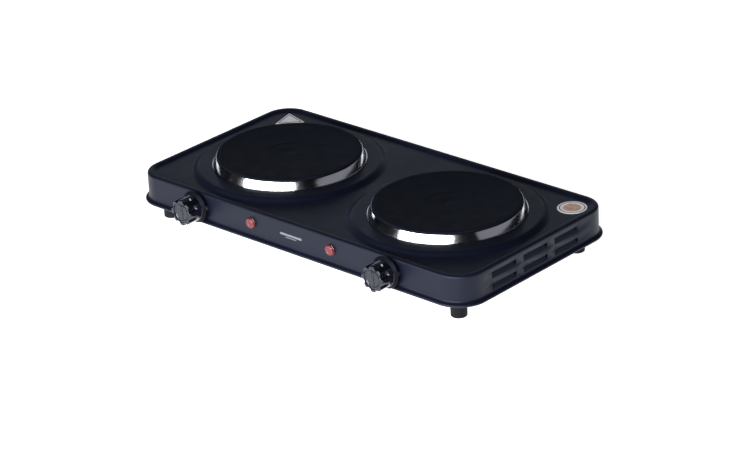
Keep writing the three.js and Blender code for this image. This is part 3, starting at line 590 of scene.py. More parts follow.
class NodeTree:
    """A Geometry Nodes tree with named inputs, applied to a mesh and then taken away."""

    def __init__(self, name: str) -> None:
        """Starts the tree with its geometry input and output.

        Args:
            name: The name of the tree.
        """
        self.tree = bpy.data.node_groups.new(name, "GeometryNodeTree")
        self.identifiers: dict[str, str] = {}
        self.tree.interface.new_socket("Geometry", in_out="INPUT", socket_type="NodeSocketGeometry")
        self.tree.interface.new_socket("Geometry", in_out="OUTPUT", socket_type="NodeSocketGeometry")
        self.start = self.tree.nodes.new("NodeGroupInput")
        self.end = self.tree.nodes.new("NodeGroupOutput")

    def inlet(self, name: str, kind: str) -> bpy.types.NodeSocket:
        """Adds a named input; kind is Float, Int, Vector, Rotation or Material.

        Args:
            name: The name of the input.
            kind: Its type.

        Returns:
            The socket inside the tree.
        """
        socket = self.tree.interface.new_socket(name, in_out="INPUT", socket_type="NodeSocket" + kind)
        self.identifiers[name] = socket.identifier
        return self.start.outputs[name]

    def node(self, kind: str, links: dict[str, bpy.types.NodeSocket] | None = None,
             **values: object) -> bpy.types.Node:
        """Adds a node, sets its values and links its inputs.

        Args:
            kind: The node's full type name.
            links: The sockets that feed its inputs, by input name.
            **values: Input values by name, with _ for a space; names in small letters are properties.

        Returns:
            The new node.
        """
        made = self.tree.nodes.new(kind)
        for key, value in values.items():
            if key[0].islower():
                setattr(made, key, value)
            else:
                made.inputs[key.replace("_", " ")].default_value = value
        for key, socket in (links or {}).items():
            self.tree.links.new(socket, made.inputs[key])
        return made

    def math(self, operation: str, first: bpy.types.NodeSocket,
             second: bpy.types.NodeSocket | float) -> bpy.types.NodeSocket:
        """A sum on two numbers.

        Args:
            operation: What is done with them.
            first: The first number.
            second: The second one, or a plain value.

        Returns:
            The result's socket.
        """
        made = self.tree.nodes.new("ShaderNodeMath")
        made.operation = operation
        self.tree.links.new(first, made.inputs[0])
        if isinstance(second, bpy.types.NodeSocket):
            self.tree.links.new(second, made.inputs[1])
        else:
            made.inputs[1].default_value = second
        return made.outputs[0]

    def finish(self, geometry: bpy.types.NodeSocket, material: bpy.types.NodeSocket) -> None:
        """Ends the tree in real meshes that carry the material.

        Args:
            geometry: What the tree has built.
            material: What it is made of.
        """
        real = self.node("GeometryNodeRealizeInstances", {"Geometry": geometry})
        dressed = self.node("GeometryNodeSetMaterial",
                            {"Geometry": real.outputs["Geometry"], "Material": material})
        self.tree.links.new(dressed.outputs["Geometry"], self.end.inputs["Geometry"])

    def apply(self, name: str, source: bpy.types.Mesh, values: dict[str, object],
              sharp_angle: float = 32.0) -> bpy.types.Mesh:
        """Runs the tree on a mesh.

        Args:
            name: The name of the mesh that comes out.
            source: The mesh that goes in.
            values: A value for each named input.
            sharp_angle: Edges steeper than this, in degrees, stay crisp.

        Returns:
            The plain mesh.
        """
        carrier = bpy.data.objects.new(name + "_carrier", source)
        bpy.context.scene.collection.objects.link(carrier)
        modifier = carrier.modifiers.new(name, "NODES")
        modifier.node_group = self.tree
        for key, value in values.items():
            modifier[self.identifiers[key]] = value
        carrier.update_tag()
        graph = bpy.context.evaluated_depsgraph_get()
        made = bpy.data.meshes.new_from_object(carrier.evaluated_get(graph))
        made.name = name
        bpy.data.objects.remove(carrier)
        made.shade_smooth()
        made.set_sharp_from_angle(angle=math.radians(sharp_angle))
        return made


class GridCopies(NodeTree):
    """Copies one small mesh onto the points of a flat grid, which can be turned to lie in a wall."""

    def __init__(self) -> None:
        """Builds the tree."""
        super().__init__("grid_copies")
        columns, rows = self.inlet("Columns", "Int"), self.inlet("Rows", "Int")
        pitch, row_pitch = self.inlet("Pitch", "Float"), self.inlet("Row Pitch", "Float")
        turn, centre = self.inlet("Turn", "Rotation"), self.inlet("Centre", "Vector")
        material = self.inlet("Material", "Material")
        width = self.math("MULTIPLY", pitch, self.math("SUBTRACT", columns, 1.0))
        height = self.math("MULTIPLY", row_pitch, self.math("SUBTRACT", rows, 1.0))
        grid = self.node("GeometryNodeMeshGrid", {
            "Size X": width, "Size Y": height, "Vertices X": columns, "Vertices Y": rows})
        placed = self.node("GeometryNodeTransform", {
            "Geometry": grid.outputs["Mesh"], "Translation": centre, "Rotation": turn})
        copies = self.node("GeometryNodeInstanceOnPoints", {
            "Points": placed.outputs["Geometry"], "Instance": self.start.outputs["Geometry"]})
        self.finish(copies.outputs["Instances"], material)


class RolledHem(NodeTree):
    """Rolls a round bead along a rounded rectangle."""

    def __init__(self) -> None:
        """Builds the tree."""
        super().__init__("rolled_hem")
        length, width = self.inlet("Length", "Float"), self.inlet("Width", "Float")
        corner, bead = self.inlet("Corner", "Float"), self.inlet("Bead", "Float")
        centre, material = self.inlet("Centre", "Vector"), self.inlet("Material", "Material")
        path = self.node("GeometryNodeCurvePrimitiveQuadrilateral", {"Width": length, "Height": width})
        rounded = self.node("GeometryNodeFilletCurve", {"Curve": path.outputs["Curve"], "Radius": corner},
                            mode="POLY", Count=20)
        section = self.node("GeometryNodeCurvePrimitiveCircle", {"Radius": bead}, Resolution=18)
        swept = self.node("GeometryNodeCurveToMesh", {
            "Curve": rounded.outputs["Curve"], "Profile Curve": section.outputs["Curve"]})
        placed = self.node("GeometryNodeTransform", {
            "Geometry": swept.outputs["Mesh"], "Translation": centre})
        self.finish(placed.outputs["Geometry"], material)


class SlottedSheet(NodeTree):
    """A flat rounded sheet, pierced by rows of round-ended slots."""

    def __init__(self) -> None:
        """Builds the tree."""
        super().__init__("slotted_sheet")
        length, width = self.inlet("Length", "Float"), self.inlet("Width", "Float")
        corner, sheet = self.inlet("Corner", "Float"), self.inlet("Sheet", "Float")
        slot_length, slot_width = self.inlet("Slot Length", "Float"), self.inlet("Slot Width", "Float")
        groups_apart, pitch = self.inlet("Groups Apart", "Float"), self.inlet("Pitch", "Float")
        slots, shift = self.inlet("Slots", "Int"), self.inlet("Shift", "Vector")
        centre, material = self.inlet("Centre", "Vector"), self.inlet("Material", "Material")
        outline = self.rounded(length, width, corner, 12)
        slot = self.rounded(slot_length, slot_width, self.math("MULTIPLY", slot_width, 0.499), 5)
        span = self.math("MULTIPLY", pitch, self.math("SUBTRACT", slots, 1.0))
        grid = self.node("GeometryNodeMeshGrid", {
            "Size X": groups_apart, "Size Y": span, "Vertices Y": slots}, Vertices_X=2)
        moved = self.node("GeometryNodeTransform", {
            "Geometry": grid.outputs["Mesh"], "Translation": shift})
        copies = self.node("GeometryNodeInstanceOnPoints", {
            "Points": moved.outputs["Geometry"], "Instance": slot})
        real = self.node("GeometryNodeRealizeInstances", {"Geometry": copies.outputs["Instances"]})
        both = self.node("GeometryNodeJoinGeometry")
        for socket in (real.outputs["Geometry"], outline):
            self.tree.links.new(socket, both.inputs["Geometry"])
        filled = self.node("GeometryNodeFillCurve", {"Curve": both.outputs["Geometry"]})
        raised = self.node("GeometryNodeExtrudeMesh", {
            "Mesh": filled.outputs["Mesh"], "Offset Scale": sheet}, mode="FACES", Individual=False)
        flipped = self.node("GeometryNodeFlipFaces", {"Mesh": filled.outputs["Mesh"]})
        whole = self.node("GeometryNodeJoinGeometry")
        for socket in (raised.outputs["Mesh"], flipped.outputs["Mesh"]):
            self.tree.links.new(socket, whole.inputs["Geometry"])
        welded = self.node("GeometryNodeMergeByDistance", {"Geometry": whole.outputs["Geometry"]},
                           Distance=1e-5)
        placed = self.node("GeometryNodeTransform", {
            "Geometry": welded.outputs["Geometry"], "Translation": centre})
        self.finish(placed.outputs["Geometry"], material)

    def rounded(self, length: bpy.types.NodeSocket, width: bpy.types.NodeSocket,
                corner: bpy.types.NodeSocket, steps: int) -> bpy.types.NodeSocket:
        """A rounded rectangle's curve.

        Args:
            length: Along X.
            width: Along Y.
            corner: The radius of its corners.
            steps: How many points each corner has.

        Returns:
            The curve's socket.
        """
        path = self.node("GeometryNodeCurvePrimitiveQuadrilateral", {"Width": length, "Height": width})
        made = self.node("GeometryNodeFilletCurve", {"Curve": path.outputs["Curve"], "Radius": corner},
                         mode="POLY", Count=steps)
        return made.outputs["Curve"]


# ------------------------------------------------------------------ the housing


@dataclass
class Housing:
    """The pressed shell with its rim, panel and plateaus, its rolled hem and its louvred ends."""

    finishes: Finishes
    grid: GridCopies
    sheet: float = 1.0 * MM
    overhang: float = 3.85 * MM  # of the hem beyond the wall
    bead: float = 1.6 * MM
    corner: float = 28.5 * MM
    edge: float = 2.6 * MM
    crown: float = 2.2 * MM
    slope: float = 4.7 * MM
    panel_depth: float = 2.3 * MM
    flare: float = 6.3 * MM
    plateau_height: float = 4.2 * MM
    plateau_radius: float = 104.0 * MM
    shoulder: float = 9.0 * MM
    opening_radius: float = 71.5 * MM
    strip: float = 0.35 * MM  # flat strip that keeps the panel's shading flat
    louvre_width: float = 37.0 * MM
    louvre_height: float = 6.5 * MM
    louvre_pitch: float = 48.2 * MM
    louvre_rise: float = 12.6 * MM
    louvre_foot: float = 0.3 * MM  # above the flare
    louvre_shift: float = -4.5 * MM
    lean: float = 3.2 * MM
    slit: float = 0.4 * MM
    columns: int = 3
    rows: int = 2
    corner_steps: int = 18
    rim_steps: int = 7
    flare_steps: int = 6
    flare_power: float = 3.0  # how late the flare bends outwards
    plateau_steps: int = 9
    plateau_facets: int = 144
    tongue_steps: int = 12
    lean_power: float = 1.08
    # The printed bars: how long and tall each is, and how far below the lamps' line.
    bars: tuple[Space, ...] = ((30 * MM, 2.3 * MM, 0.4 * MM), (15 * MM, 0.8 * MM, 3.2 * MM))
    bar_end_steps: int = 8
    ink: float = 0.06 * MM

    def __post_init__(self) -> None:
        """Reads the shell's place from the frame."""
        low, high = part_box("top_housing")
        self.middle = (Vector(low) + Vector(high)) / 2
        self.half_x = high[0] - self.overhang - self.middle.x
        self.half_y = high[1] - self.overhang - self.middle.y
        self.foot_z = low[2]
        self.panel_z = high[2] - self.plateau_height
        self.rim_z = self.panel_z + self.panel_depth
        self.flare_z = self.foot_z + self.flare

    def section(self) -> list[Point]:
        """The outer side's section: (distance out from the wall, height), from hem to panel.

        Returns:
            The points of the section, from the foot up.
        """
        bead_out = self.overhang - self.bead
        path = [(bead_out, self.foot_z + self.bead)]
        path += arc((bead_out, self.foot_z + self.bead), self.bead, 30, 62, 3)
        start_out, start_z = path[-1]
        for i in range(1, self.flare_steps + 1):
            share = i / self.flare_steps
            out = start_out * (1 - share) ** self.flare_power
            path.append((out, start_z + (self.flare_z - start_z) * share))
        low = self.flare_z + self.louvre_foot
        for row in range(self.rows):
            bottom = low + row * self.louvre_rise
            path += [(0.0, bottom), (0.0, bottom + self.louvre_height)]
        path.append((0.0, self.rim_z - self.edge - self.strip))
        path += arc((-self.edge, self.rim_z - self.edge), self.edge, 0, 90, self.rim_steps)
        path.append((-self.edge - self.crown, self.rim_z))
        crown_end = -self.edge - self.crown
        for i in range(1, self.rim_steps + 1):
            share = i / self.rim_steps
            path.append((crown_end - self.slope * share, self.rim_z - self.panel_depth * smooth_step(share)))
        path.append((crown_end - self.slope - self.strip, self.panel_z))
        return path

    def windows(self) -> list[tuple[float, float]]:
        """The ends of each louvre column along the end wall.

        Returns:
            The first and last Y of each column, about the middle.
        """
        found = []
        for column in range(self.columns):
            y = self.louvre_shift + (column - (self.columns - 1) / 2) * self.louvre_pitch
            found.append((y - self.louvre_width / 2, y + self.louvre_width / 2))
        return found

    def loop(self, out: float, z: float) -> list[Space]:
        """One level of the shell: a rounded rectangle, counterclockwise from the right-hand wall.

        Args:
            out: How far it lies outside the wall.
            z: Its height.

        Returns:
            Its points in order.
        """
        reach_x, reach_y = self.half_x - self.corner, self.half_y - self.corner
        edges = sorted(edge for window in self.windows() for edge in window)
        stations = [-reach_y, *edges, reach_y]
        radius = self.corner + out
        bends = [arc((0, 0), radius, start, start + 90, self.corner_steps)[1:-1]
                 for start in (0, 90, 180, 270)]
        right = [(self.half_x + out, y) for y in stations]
        left = [(-self.half_x - out, y) for y in reversed(stations)]
        ends = (reach_x, 0.0, -reach_x)
        back = [(x, self.half_y + out) for x in ends]
        front = [(-x, -self.half_y - out) for x in ends]
        path = [*right, *[(reach_x + x, reach_y + y) for x, y in bends[0]],
                *back, *[(-reach_x + x, reach_y + y) for x, y in bends[1]],
                *left, *[(-reach_x + x, -reach_y + y) for x, y in bends[2]],
                *front, *[(reach_x + x, -reach_y + y) for x, y in bends[3]]]
        return [(x + self.middle.x, y + self.middle.y, z) for x, y in path]

    def is_window(self, first: Space, second: Space, low: float, high: float) -> bool:
        """Whether a face of the wall lies in a louvre's window.

        Args:
            first: One lower corner of the face.
            second: The other one.
            low: The height of its foot.
            high: The height of its top.

        Returns:
            True where the wall is left open.
        """
        flat = 1e-6
        if abs(first[0] - second[0]) > flat or abs(abs(first[0] - self.middle.x) - self.half_x) > flat:
            return False
        mid_y = (first[1] + second[1]) / 2 - self.middle.y
        mid_z = (low + high) / 2
        in_column = any(start < mid_y < end for start, end in self.windows())
        floor = self.flare_z + self.louvre_foot
        spans = [(floor + r * self.louvre_rise, floor + r * self.louvre_rise + self.louvre_height)
                 for r in range(self.rows)]
        return in_column and any(start < mid_z < end for start, end in spans)

    def plateau(self, made: bmesh.types.BMesh, centre: Vector) -> list[bmesh.types.BMEdge]:
        """Adds one plateau with its turned-down opening.

        Args:
            made: The shell's working mesh.
            centre: The middle of its hot plate.

        Returns:
            The edges of its foot, which the panel joins.
        """
        top = self.panel_z + self.plateau_height
        foot = self.plateau_radius + self.strip
        path = [(foot, self.panel_z)]
        for i in range(self.plateau_steps + 1):
            share = i / self.plateau_steps
            height = self.panel_z + self.plateau_height * smooth_step(share)
            path.append((self.plateau_radius - self.shoulder * share, height))
        path += [(self.plateau_radius - self.shoulder - 2 * self.strip, top),
                 (self.opening_radius + self.sheet, top), (self.opening_radius, top - self.sheet)]
        disc = turned(path, self.plateau_facets)
        land = self.plateau_radius - self.shoulder
        inner_y = self.half_y - self.edge - self.crown - self.slope - 2 * self.strip
        for vertex in disc.verts:
            radius = math.hypot(vertex.co.x, vertex.co.y)
            if radius < land + 1e-6:
                continue
            sine = vertex.co.y / radius
            wall = self.middle.y + math.copysign(inner_y, sine) - centre.y
            room = min(foot, wall / sine if abs(sine) > 0.5 else foot)
            scale = (land + (radius - land) * (room - land) / (foot - land)) / radius
            vertex.co.x *= scale
            vertex.co.y *= scale
        bmesh.ops.translate(disc, verts=disc.verts, vec=(centre.x, centre.y, 0))
        data = bpy.data.meshes.new("plateau")
        disc.to_mesh(data)
        disc.free()
        before = set(made.verts)
        made.from_mesh(data)
        bpy.data.meshes.remove(data)
        added = {v for v in made.verts if v not in before}
        outer = {v for v in added if abs(v.co.z - self.panel_z) < 1e-7}
        return [e for e in made.edges if e.is_boundary and e.verts[0] in outer and e.verts[1] in outer]

    def shell(self) -> bpy.types.Object:
        """The pressed shell, one sheet thick, with windows for the louvres.

        Returns:
            The new piece.
        """
        made = bmesh.new()
        path = self.section()
        places = [self.loop(out, z) for out, z in path]
        rings = [[made.verts.new(p) for p in ring] for ring in places]
        count = len(rings[0])
        for level in range(len(rings) - 1):
            low, high = path[level][1], path[level + 1][1]
            for i in range(count):
                j = (i + 1) % count
                if self.is_window(places[level][i], places[level][j], low, high):
                    continue
                made.faces.new((rings[level][i], rings[level][j], rings[level + 1][j], rings[level + 1][i]))
        border = [made.edges.get((rings[-1][i], rings[-1][(i + 1) % count])) for i in range(count)]
        for name, _ in SIDES:
            border += self.plateau(made, node_centre(f"hotplate_{name}"))
        bmesh.ops.triangle_fill(made, use_beauty=True, edges=border)
        loose = [v for v in made.verts if not v.link_faces]
        bmesh.ops.delete(made, geom=loose, context="VERTS")
        bmesh.ops.recalc_face_normals(made, faces=made.faces)
        upward = max(made.faces, key=lambda f: f.calc_area())
        if upward.normal.z < 0:
            bmesh.ops.reverse_faces(made, faces=made.faces)
        data = finished_mesh(made, "housing_shell", sharp_angle=38)
        finish = self.finishes.get(self.finishes.enamel)
        piece = add_piece("housing_shell", data, finish, stands_for=["top_housing"])
        wall = piece.modifiers.new("sheet", "SOLIDIFY")
        wall.thickness = self.sheet
        wall.offset = -1
        return piece

    def hem(self) -> bpy.types.Object:
        """The rolled hem round the foot.

        Returns:
            The new piece.
        """
        out = self.overhang - self.bead
        empty = bpy.data.meshes.new("hem_seed")
        finish = self.finishes.get(self.finishes.enamel)
        data = RolledHem().apply("housing_hem", empty, {
            "Length": 2 * (self.half_x + out), "Width": 2 * (self.half_y + out),
            "Corner": self.corner + out, "Bead": self.bead,
            "Centre": (self.middle.x, self.middle.y, self.foot_z + self.bead), "Material": finish})
        return add_piece("housing_hem", data, finish)

    def tongue(self, side: int) -> bpy.types.Mesh:
        """One louvre's tongue: it starts in the wall at its foot and leans inwards at its top.

        Args:
            side: -1 for the left end, 1 for the right.

        Returns:
            The tongue's mesh, about the middle of its foot.
        """
        half = self.louvre_width / 2 - self.slit
        tall = self.louvre_height - self.slit
        outer = []
        for i in range(self.tongue_steps + 1):
            share = i / self.tongue_steps
            outer.append((-side * self.lean * share ** self.lean_power, tall * share))
        root = (0.0, -self.sheet / 2)
        section = [root, *outer]
        made = bmesh.new()
        layers = []
        for y in (-half, half):
            layers.append([made.verts.new((x, y, z)) for x, z in section])
            layers.append([made.verts.new((x - side * self.sheet, y, z)) for x, z in section])
        front, front_in, back, back_in = layers
        for i in range(len(section) - 1):
            for quad in ((front[i], back[i], back[i + 1], front[i + 1]),
                         (back_in[i], front_in[i], front_in[i + 1], back_in[i + 1]),
                         (front[i + 1], front_in[i + 1], front_in[i], front[i]),
                         (back[i], back_in[i], back_in[i + 1], back[i + 1])):
                made.faces.new(quad)
        made.faces.new((front[0], front_in[0], back_in[0], back[0]))
        made.faces.new((front[-1], back[-1], back_in[-1], front_in[-1]))
        bmesh.ops.recalc_face_normals(made, faces=made.faces)
        return finished_mesh(made, "tongue")

    def louvres(self, name: str, side: int) -> bpy.types.Object:
        """All the tongues of one end wall.

        Args:
            name: The name of the end.
            side: -1 for the left end, 1 for the right.

        Returns:
            The piece that holds them all.
        """
        finish = self.finishes.get(self.finishes.enamel)
        floor = self.flare_z + self.louvre_foot
        middle_z = floor + self.louvre_rise * (self.rows - 1) / 2
        centre = (self.middle.x + side * self.half_x, self.middle.y + self.louvre_shift, middle_z)
        data = self.grid.apply(f"louvres_{name}", self.tongue(side), {
            "Columns": self.columns, "Rows": self.rows, "Pitch": self.louvre_pitch,
            "Row Pitch": self.louvre_rise, "Turn": (math.pi / 2, 0.0, math.pi / 2), "Centre": centre,
            "Material": finish})
        return add_piece(f"louvres_{name}", data, finish)

    def printed_mark(self) -> bpy.types.Object:
        """Two plain printed lines between the lamps.

        Returns:
            The new piece.
        """
        lamps = [node_centre(f"lamp_lens_{name}") for name, _ in SIDES]
        middle = (lamps[0] + lamps[1]) / 2
        wall_y = self.middle.y - self.half_y
        made = bmesh.new()
        for width, height, drop in self.bars:
            outline = []
            radius = height / 2
            for sign, start in ((1, -90), (-1, 90)):
                outline += arc((sign * (width / 2 - radius), -drop), radius, start, start + 180,
                               self.bar_end_steps)
            face = made.faces.new([made.verts.new((middle.x + x, wall_y, middle.z + z))
                                   for x, z in outline])
            grown = bmesh.ops.extrude_face_region(made, geom=[face], use_keep_orig=True)["geom"]
            front = [v for v in grown if isinstance(v, bmesh.types.BMVert)]
            bmesh.ops.translate(made, verts=front, vec=(0, -self.ink, 0))
        bmesh.ops.recalc_face_normals(made, faces=made.faces)
        data = finished_mesh(made, "printed_mark")
        return add_piece("printed_mark", data, self.finishes.get(self.finishes.print_white))

    def build(self) -> None:
        """Builds and dresses every piece of the housing."""
        self.shell()
        self.hem()
        for name, side in SIDES:
            self.louvres(name, side)
        self.printed_mark()


# ------------------------------------------------------------------ underneath


@dataclass
class Underside:
    """The slotted base plate, the rubber feet and the screws."""

    finishes: Finishes
    grid: GridCopies
    base_corner: float = 27.0 * MM
    slot_length: float = 46.0 * MM
    slot_width: float = 4.0 * MM
    slot_pitch: float = 12.0 * MM
    slots: int = 7
    foot_edge: float = 1.3 * MM
    counterbore: float = 5.0 * MM
    seat: float = 9.0 * MM
    bore: float = 2.3 * MM
    foot_screw: Space = (4.0 * MM, 2.4 * MM, 2.0 * MM)  # head's radius and height, shank's radius
    base_screw: Space = (3.2 * MM, 1.9 * MM, 1.6 * MM)
    screw_sink: float = 0.3 * MM  # of a foot's screw into its seat

    def base(self) -> bpy.types.Object:
        """The base plate with its rows of slots.

        Returns:
            The new piece.
        """
        low, high = (Vector(corner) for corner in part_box("base_plate"))
        size, middle = high - low, (low + high) / 2
        left, right = (node_centre(f"hotplate_{name}") for name, _ in SIDES)
        finish = self.finishes.get(self.finishes.zinc)
        data = SlottedSheet().apply("base_panel", bpy.data.meshes.new("base_seed"), {
            "Length": size.x, "Width": size.y, "Corner": self.base_corner, "Sheet": size.z,
            "Slot Length": self.slot_length, "Slot Width": self.slot_width,
            "Groups Apart": right.x - left.x, "Pitch": self.slot_pitch, "Slots": self.slots,
            "Shift": (0.0, left.y - middle.y, 0.0), "Centre": (middle.x, middle.y, low.z),
            "Material": finish})
        return add_piece("base_panel", data, finish, stands_for=["base_plate"])

    def corner_copies(self, name: str, stem: str, source: bpy.types.Mesh, finish: bpy.types.Material,
                      z: float) -> bpy.types.Object:
        """Copies one mesh to the four corners where the frame has its own.

        Args:
            name: The new piece's name.
            stem: The frame nodes' names without their corner.
            source: The mesh to copy, centred on its own axis.
            finish: Its material.
            z: The height of its own zero.

        Returns:
            The piece that holds all four.
        """
        nodes = [f"{stem}_{corner}" for corner in CORNERS]
        places = [node_centre(node) for node in nodes]
        middle = sum(places, Vector()) / len(places)
        apart = places[3] - places[0]
        data = self.grid.apply(name, source, {
            "Columns": 2, "Rows": 2, "Pitch": apart.x, "Row Pitch": apart.y, "Turn": (0.0, 0.0, 0.0),
            "Centre": (middle.x, middle.y, z), "Material": finish})
        return add_piece(name, data, finish, stands_for=nodes)

    def foot(self) -> bpy.types.Mesh:
        """One foot, with a rounded lower edge, a moulding line and a hollow for its screw.

        Returns:
            The foot's mesh, standing on its own zero.
        """
        low, high = (Vector(corner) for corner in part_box("foot_front_left"))
        radius, top = (high.x - low.x) / 2, high.z
        taper = 0.3 * MM
        foot_radius = radius - taper
        path = [(self.bore, top), (self.bore, self.seat), (self.counterbore, self.seat)]
        path += [(self.counterbore, 0.4 * MM), (self.counterbore + 0.4 * MM, 0.0)]
        path += arc((foot_radius - self.foot_edge, self.foot_edge), self.foot_edge, -90, 0, 6)
        line = 13.0 * MM
        bulge = 0.12 * MM
        for z, out in ((line - bulge * 2, 0.0), (line, bulge), (line + bulge * 2, 0.0)):
            path.append((foot_radius + taper * z / top - bulge + out, z))
        path += [(radius, top - 0.5 * MM), (radius - 0.5 * MM, top), (self.bore, top)]
        return finished_mesh(turned(path, 48), "foot")

    def screw(self, head_radius: float, head_height: float, shank: float, length: float) -> bpy.types.Mesh:
        """One cross-headed screw whose head hangs below its own zero.

        Args:
            head_radius: The head's radius.
            head_height: The head's height.
            shank: The shank's radius.
            length: The shank's length.

        Returns:
            The screw's mesh.
        """
        steps = 5
        path = [(0.0, -head_height)]
        flat = head_radius * 0.25
        for i in range(steps + 1):
            turn = math.pi / 2 * i / steps
            path.append((flat + (head_radius - flat) * math.sin(turn),
                         -head_height * (0.25 + 0.75 * math.cos(turn))))
        path += [(head_radius, 0.0), (shank, 0.0), (shank, length - shank), (shank * 0.5, length),
                 (0.0, length)]
        made = turned(path, 32)
        arm, half, depth = head_radius * 0.55, head_radius * 0.11, head_height * 0.5
        for vertex in made.verts:
            x, y, z = vertex.co
            in_cross = (abs(x) < arm and abs(y) < half) or (abs(y) < arm and abs(x) < half)
            if z < -head_height * 0.5 and in_cross:
                vertex.co.z += depth
        return finished_mesh(made, "screw")

    def build(self) -> None:
        """Builds and dresses every piece underneath."""
        self.base()
        rubber, zinc = self.finishes.get(self.finishes.rubber), self.finishes.get(self.finishes.zinc)
        self.corner_copies("rubber_feet", "foot", self.foot(), rubber, 0.0)
        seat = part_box("foot_screw_front_left")
        big = self.screw(*self.foot_screw, seat[1][2] - self.seat)
        self.corner_copies("foot_screws", "foot_screw", big, zinc, self.seat - self.screw_sink)
        low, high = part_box("base_screw_front_left")
        under = low[2] + self.base_screw[1]
        small = self.screw(*self.base_screw, high[2] - under)
        self.corner_copies("base_screws", "base_screw", small, zinc, under)


# ------------------------------------------------------------------ plates and rings


@dataclass
class HotPlate:
    """One cast iron plate with its chrome ring."""

    finishes: Finishes
    name: str
    edge: float = 1.1 * MM
    dimple_radius: float = 21.0 * MM
    dimple_depth: float = 0.6 * MM
    overhang: float = 6.7 * MM
    rim_thickness: float = 9.8 * MM
    collar_wall: float = 4.0 * MM
    collar_depth: float = 17.0 * MM
    boss_radius: float = 8.0 * MM
    disc_thickness: float = 6.0 * MM
    gap: float = 0.3 * MM
    ring_sheet: float = 0.8 * MM
    ring_swell: float = 0.12 * MM
    flange: float = 0.45 * MM  # of the ring's rolled foot
    ring_drop: float = 0.9 * MM  # of the ring's top below the plate's edge line
    inset: float = 0.5 * MM  # of the finished plate inside its plain solid
    lip: float = 6.0 * MM
    land: float = 5.5 * MM  # flat border of the plate's top
    sunk: float = 0.14 * MM  # of the turned face below that border
    facets: int = 192

    def __post_init__(self) -> None:
        """Reads the plate's place from the frame."""
        low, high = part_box(f"hotplate_{self.name}")
        self.radius = (high[1] - low[1]) / 2 - self.inset
        self.centre = node_centre(f"hotplate_{self.name}")
        self.axis = Vector((self.centre.x, self.centre.y, 0))
        self.top = high[2]
        ring_low, ring_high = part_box(f"trim_ring_{self.name}")
        self.ring_radius = (ring_high[1] - ring_low[1]) / 2
        self.ring_foot, self.ring_top = ring_low[2], ring_high[2] - self.ring_drop

    def plate_section(self) -> list[Point]:
        """The plate's section, from the boss underneath to the middle of its top.

        Returns:
            The points of the section.
        """
        collar = self.radius - self.overhang
        foot = self.top - self.collar_depth
        ceiling = self.top - self.disc_thickness
        under = self.top - self.rim_thickness
        path = [(0.0, foot), (self.boss_radius, foot), (self.boss_radius, ceiling),
                (collar - self.collar_wall, ceiling), (collar - self.collar_wall, foot), (collar, foot),
                (collar, under), (self.radius - 0.4 * MM, under), (self.radius, under + 0.4 * MM)]
        path += arc((self.radius - self.edge, self.top - self.edge), self.edge, 0, 90, 6)
        land = self.radius - self.land
        sunk = self.top - self.sunk
        path += [(land, self.top), (land - 0.5 * MM, sunk), (self.dimple_radius + 1.4 * MM, sunk)]
        steps = 6
        for i in range(1, steps + 1):
            share = i / steps
            path.append((self.dimple_radius + 1.2 * MM - 2.6 * MM * share,
                         sunk - (self.dimple_depth - self.sunk) * smooth_step(share)))
        floor = self.top - self.dimple_depth
        path += [(self.dimple_radius - 2 * MM, floor), (3.2 * MM, floor), (2.6 * MM, floor - 0.25 * MM),
                 (0.0, floor - 0.25 * MM)]
        return path

    def ring_section(self) -> list[Point]:
        """The ring's section: a lip under the plate, a rolled foot, and a sloping band.

        Returns:
            The points of the section, which ends where it starts.
        """
        inner_top = self.radius + self.gap
        under_lip = self.radius - self.lip + self.gap
        sheet = self.ring_sheet
        flange = self.ring_radius + self.flange
        flange_top = self.ring_foot + sheet
        path = [(under_lip, self.ring_foot), (flange - 0.2 * MM, self.ring_foot),
                (flange, self.ring_foot + 0.2 * MM), (flange, flange_top - 0.3 * MM)]
        path += arc((flange - 0.35 * MM, flange_top - 0.35 * MM), 0.35 * MM, 15, 75, 3)
        start = (flange - 0.75 * MM, flange_top + 0.12 * MM)
        end = (inner_top + sheet * 0.9, self.ring_top - 0.45 * MM)
        steps = 10
        for i in range(steps + 1):
            share = i / steps
            swell = self.ring_swell * math.sin(math.pi * share)
            path.append((start[0] + (end[0] - start[0]) * share + swell,
                         start[1] + (end[1] - start[1]) * share))
        path += [(inner_top + sheet * 0.6, self.ring_top - 0.08 * MM),
                 (inner_top + sheet * 0.3, self.ring_top),
                 (inner_top, self.ring_top - 0.1 * MM), (inner_top, self.ring_top - 1.5 * MM),
                 (self.ring_radius - 1.8 * sheet, self.ring_foot + sheet),
                 (under_lip, self.ring_foot + sheet), (under_lip, self.ring_foot)]
        return path

    def build(self) -> None:
        """Builds and dresses the plate and its ring."""
        place = Facing.UP.place(self.axis)
        iron = self.finishes.centred(TurnedIron, self.finishes.iron, self.name, self.axis)
        plate = finished_mesh(turned(self.plate_section(), self.facets), f"iron_plate_{self.name}", place)
        add_piece(f"iron_plate_{self.name}", plate, iron,
                  stands_for=[f"hotplate_{self.name}"])
        chrome = self.finishes.get(self.finishes.chrome)
        ring = finished_mesh(turned(self.ring_section(), self.facets), f"chrome_ring_{self.name}", place, 45)
        add_piece(f"chrome_ring_{self.name}", ring, chrome,
                  stands_for=[f"trim_ring_{self.name}"])


# ------------------------------------------------------------------ controls


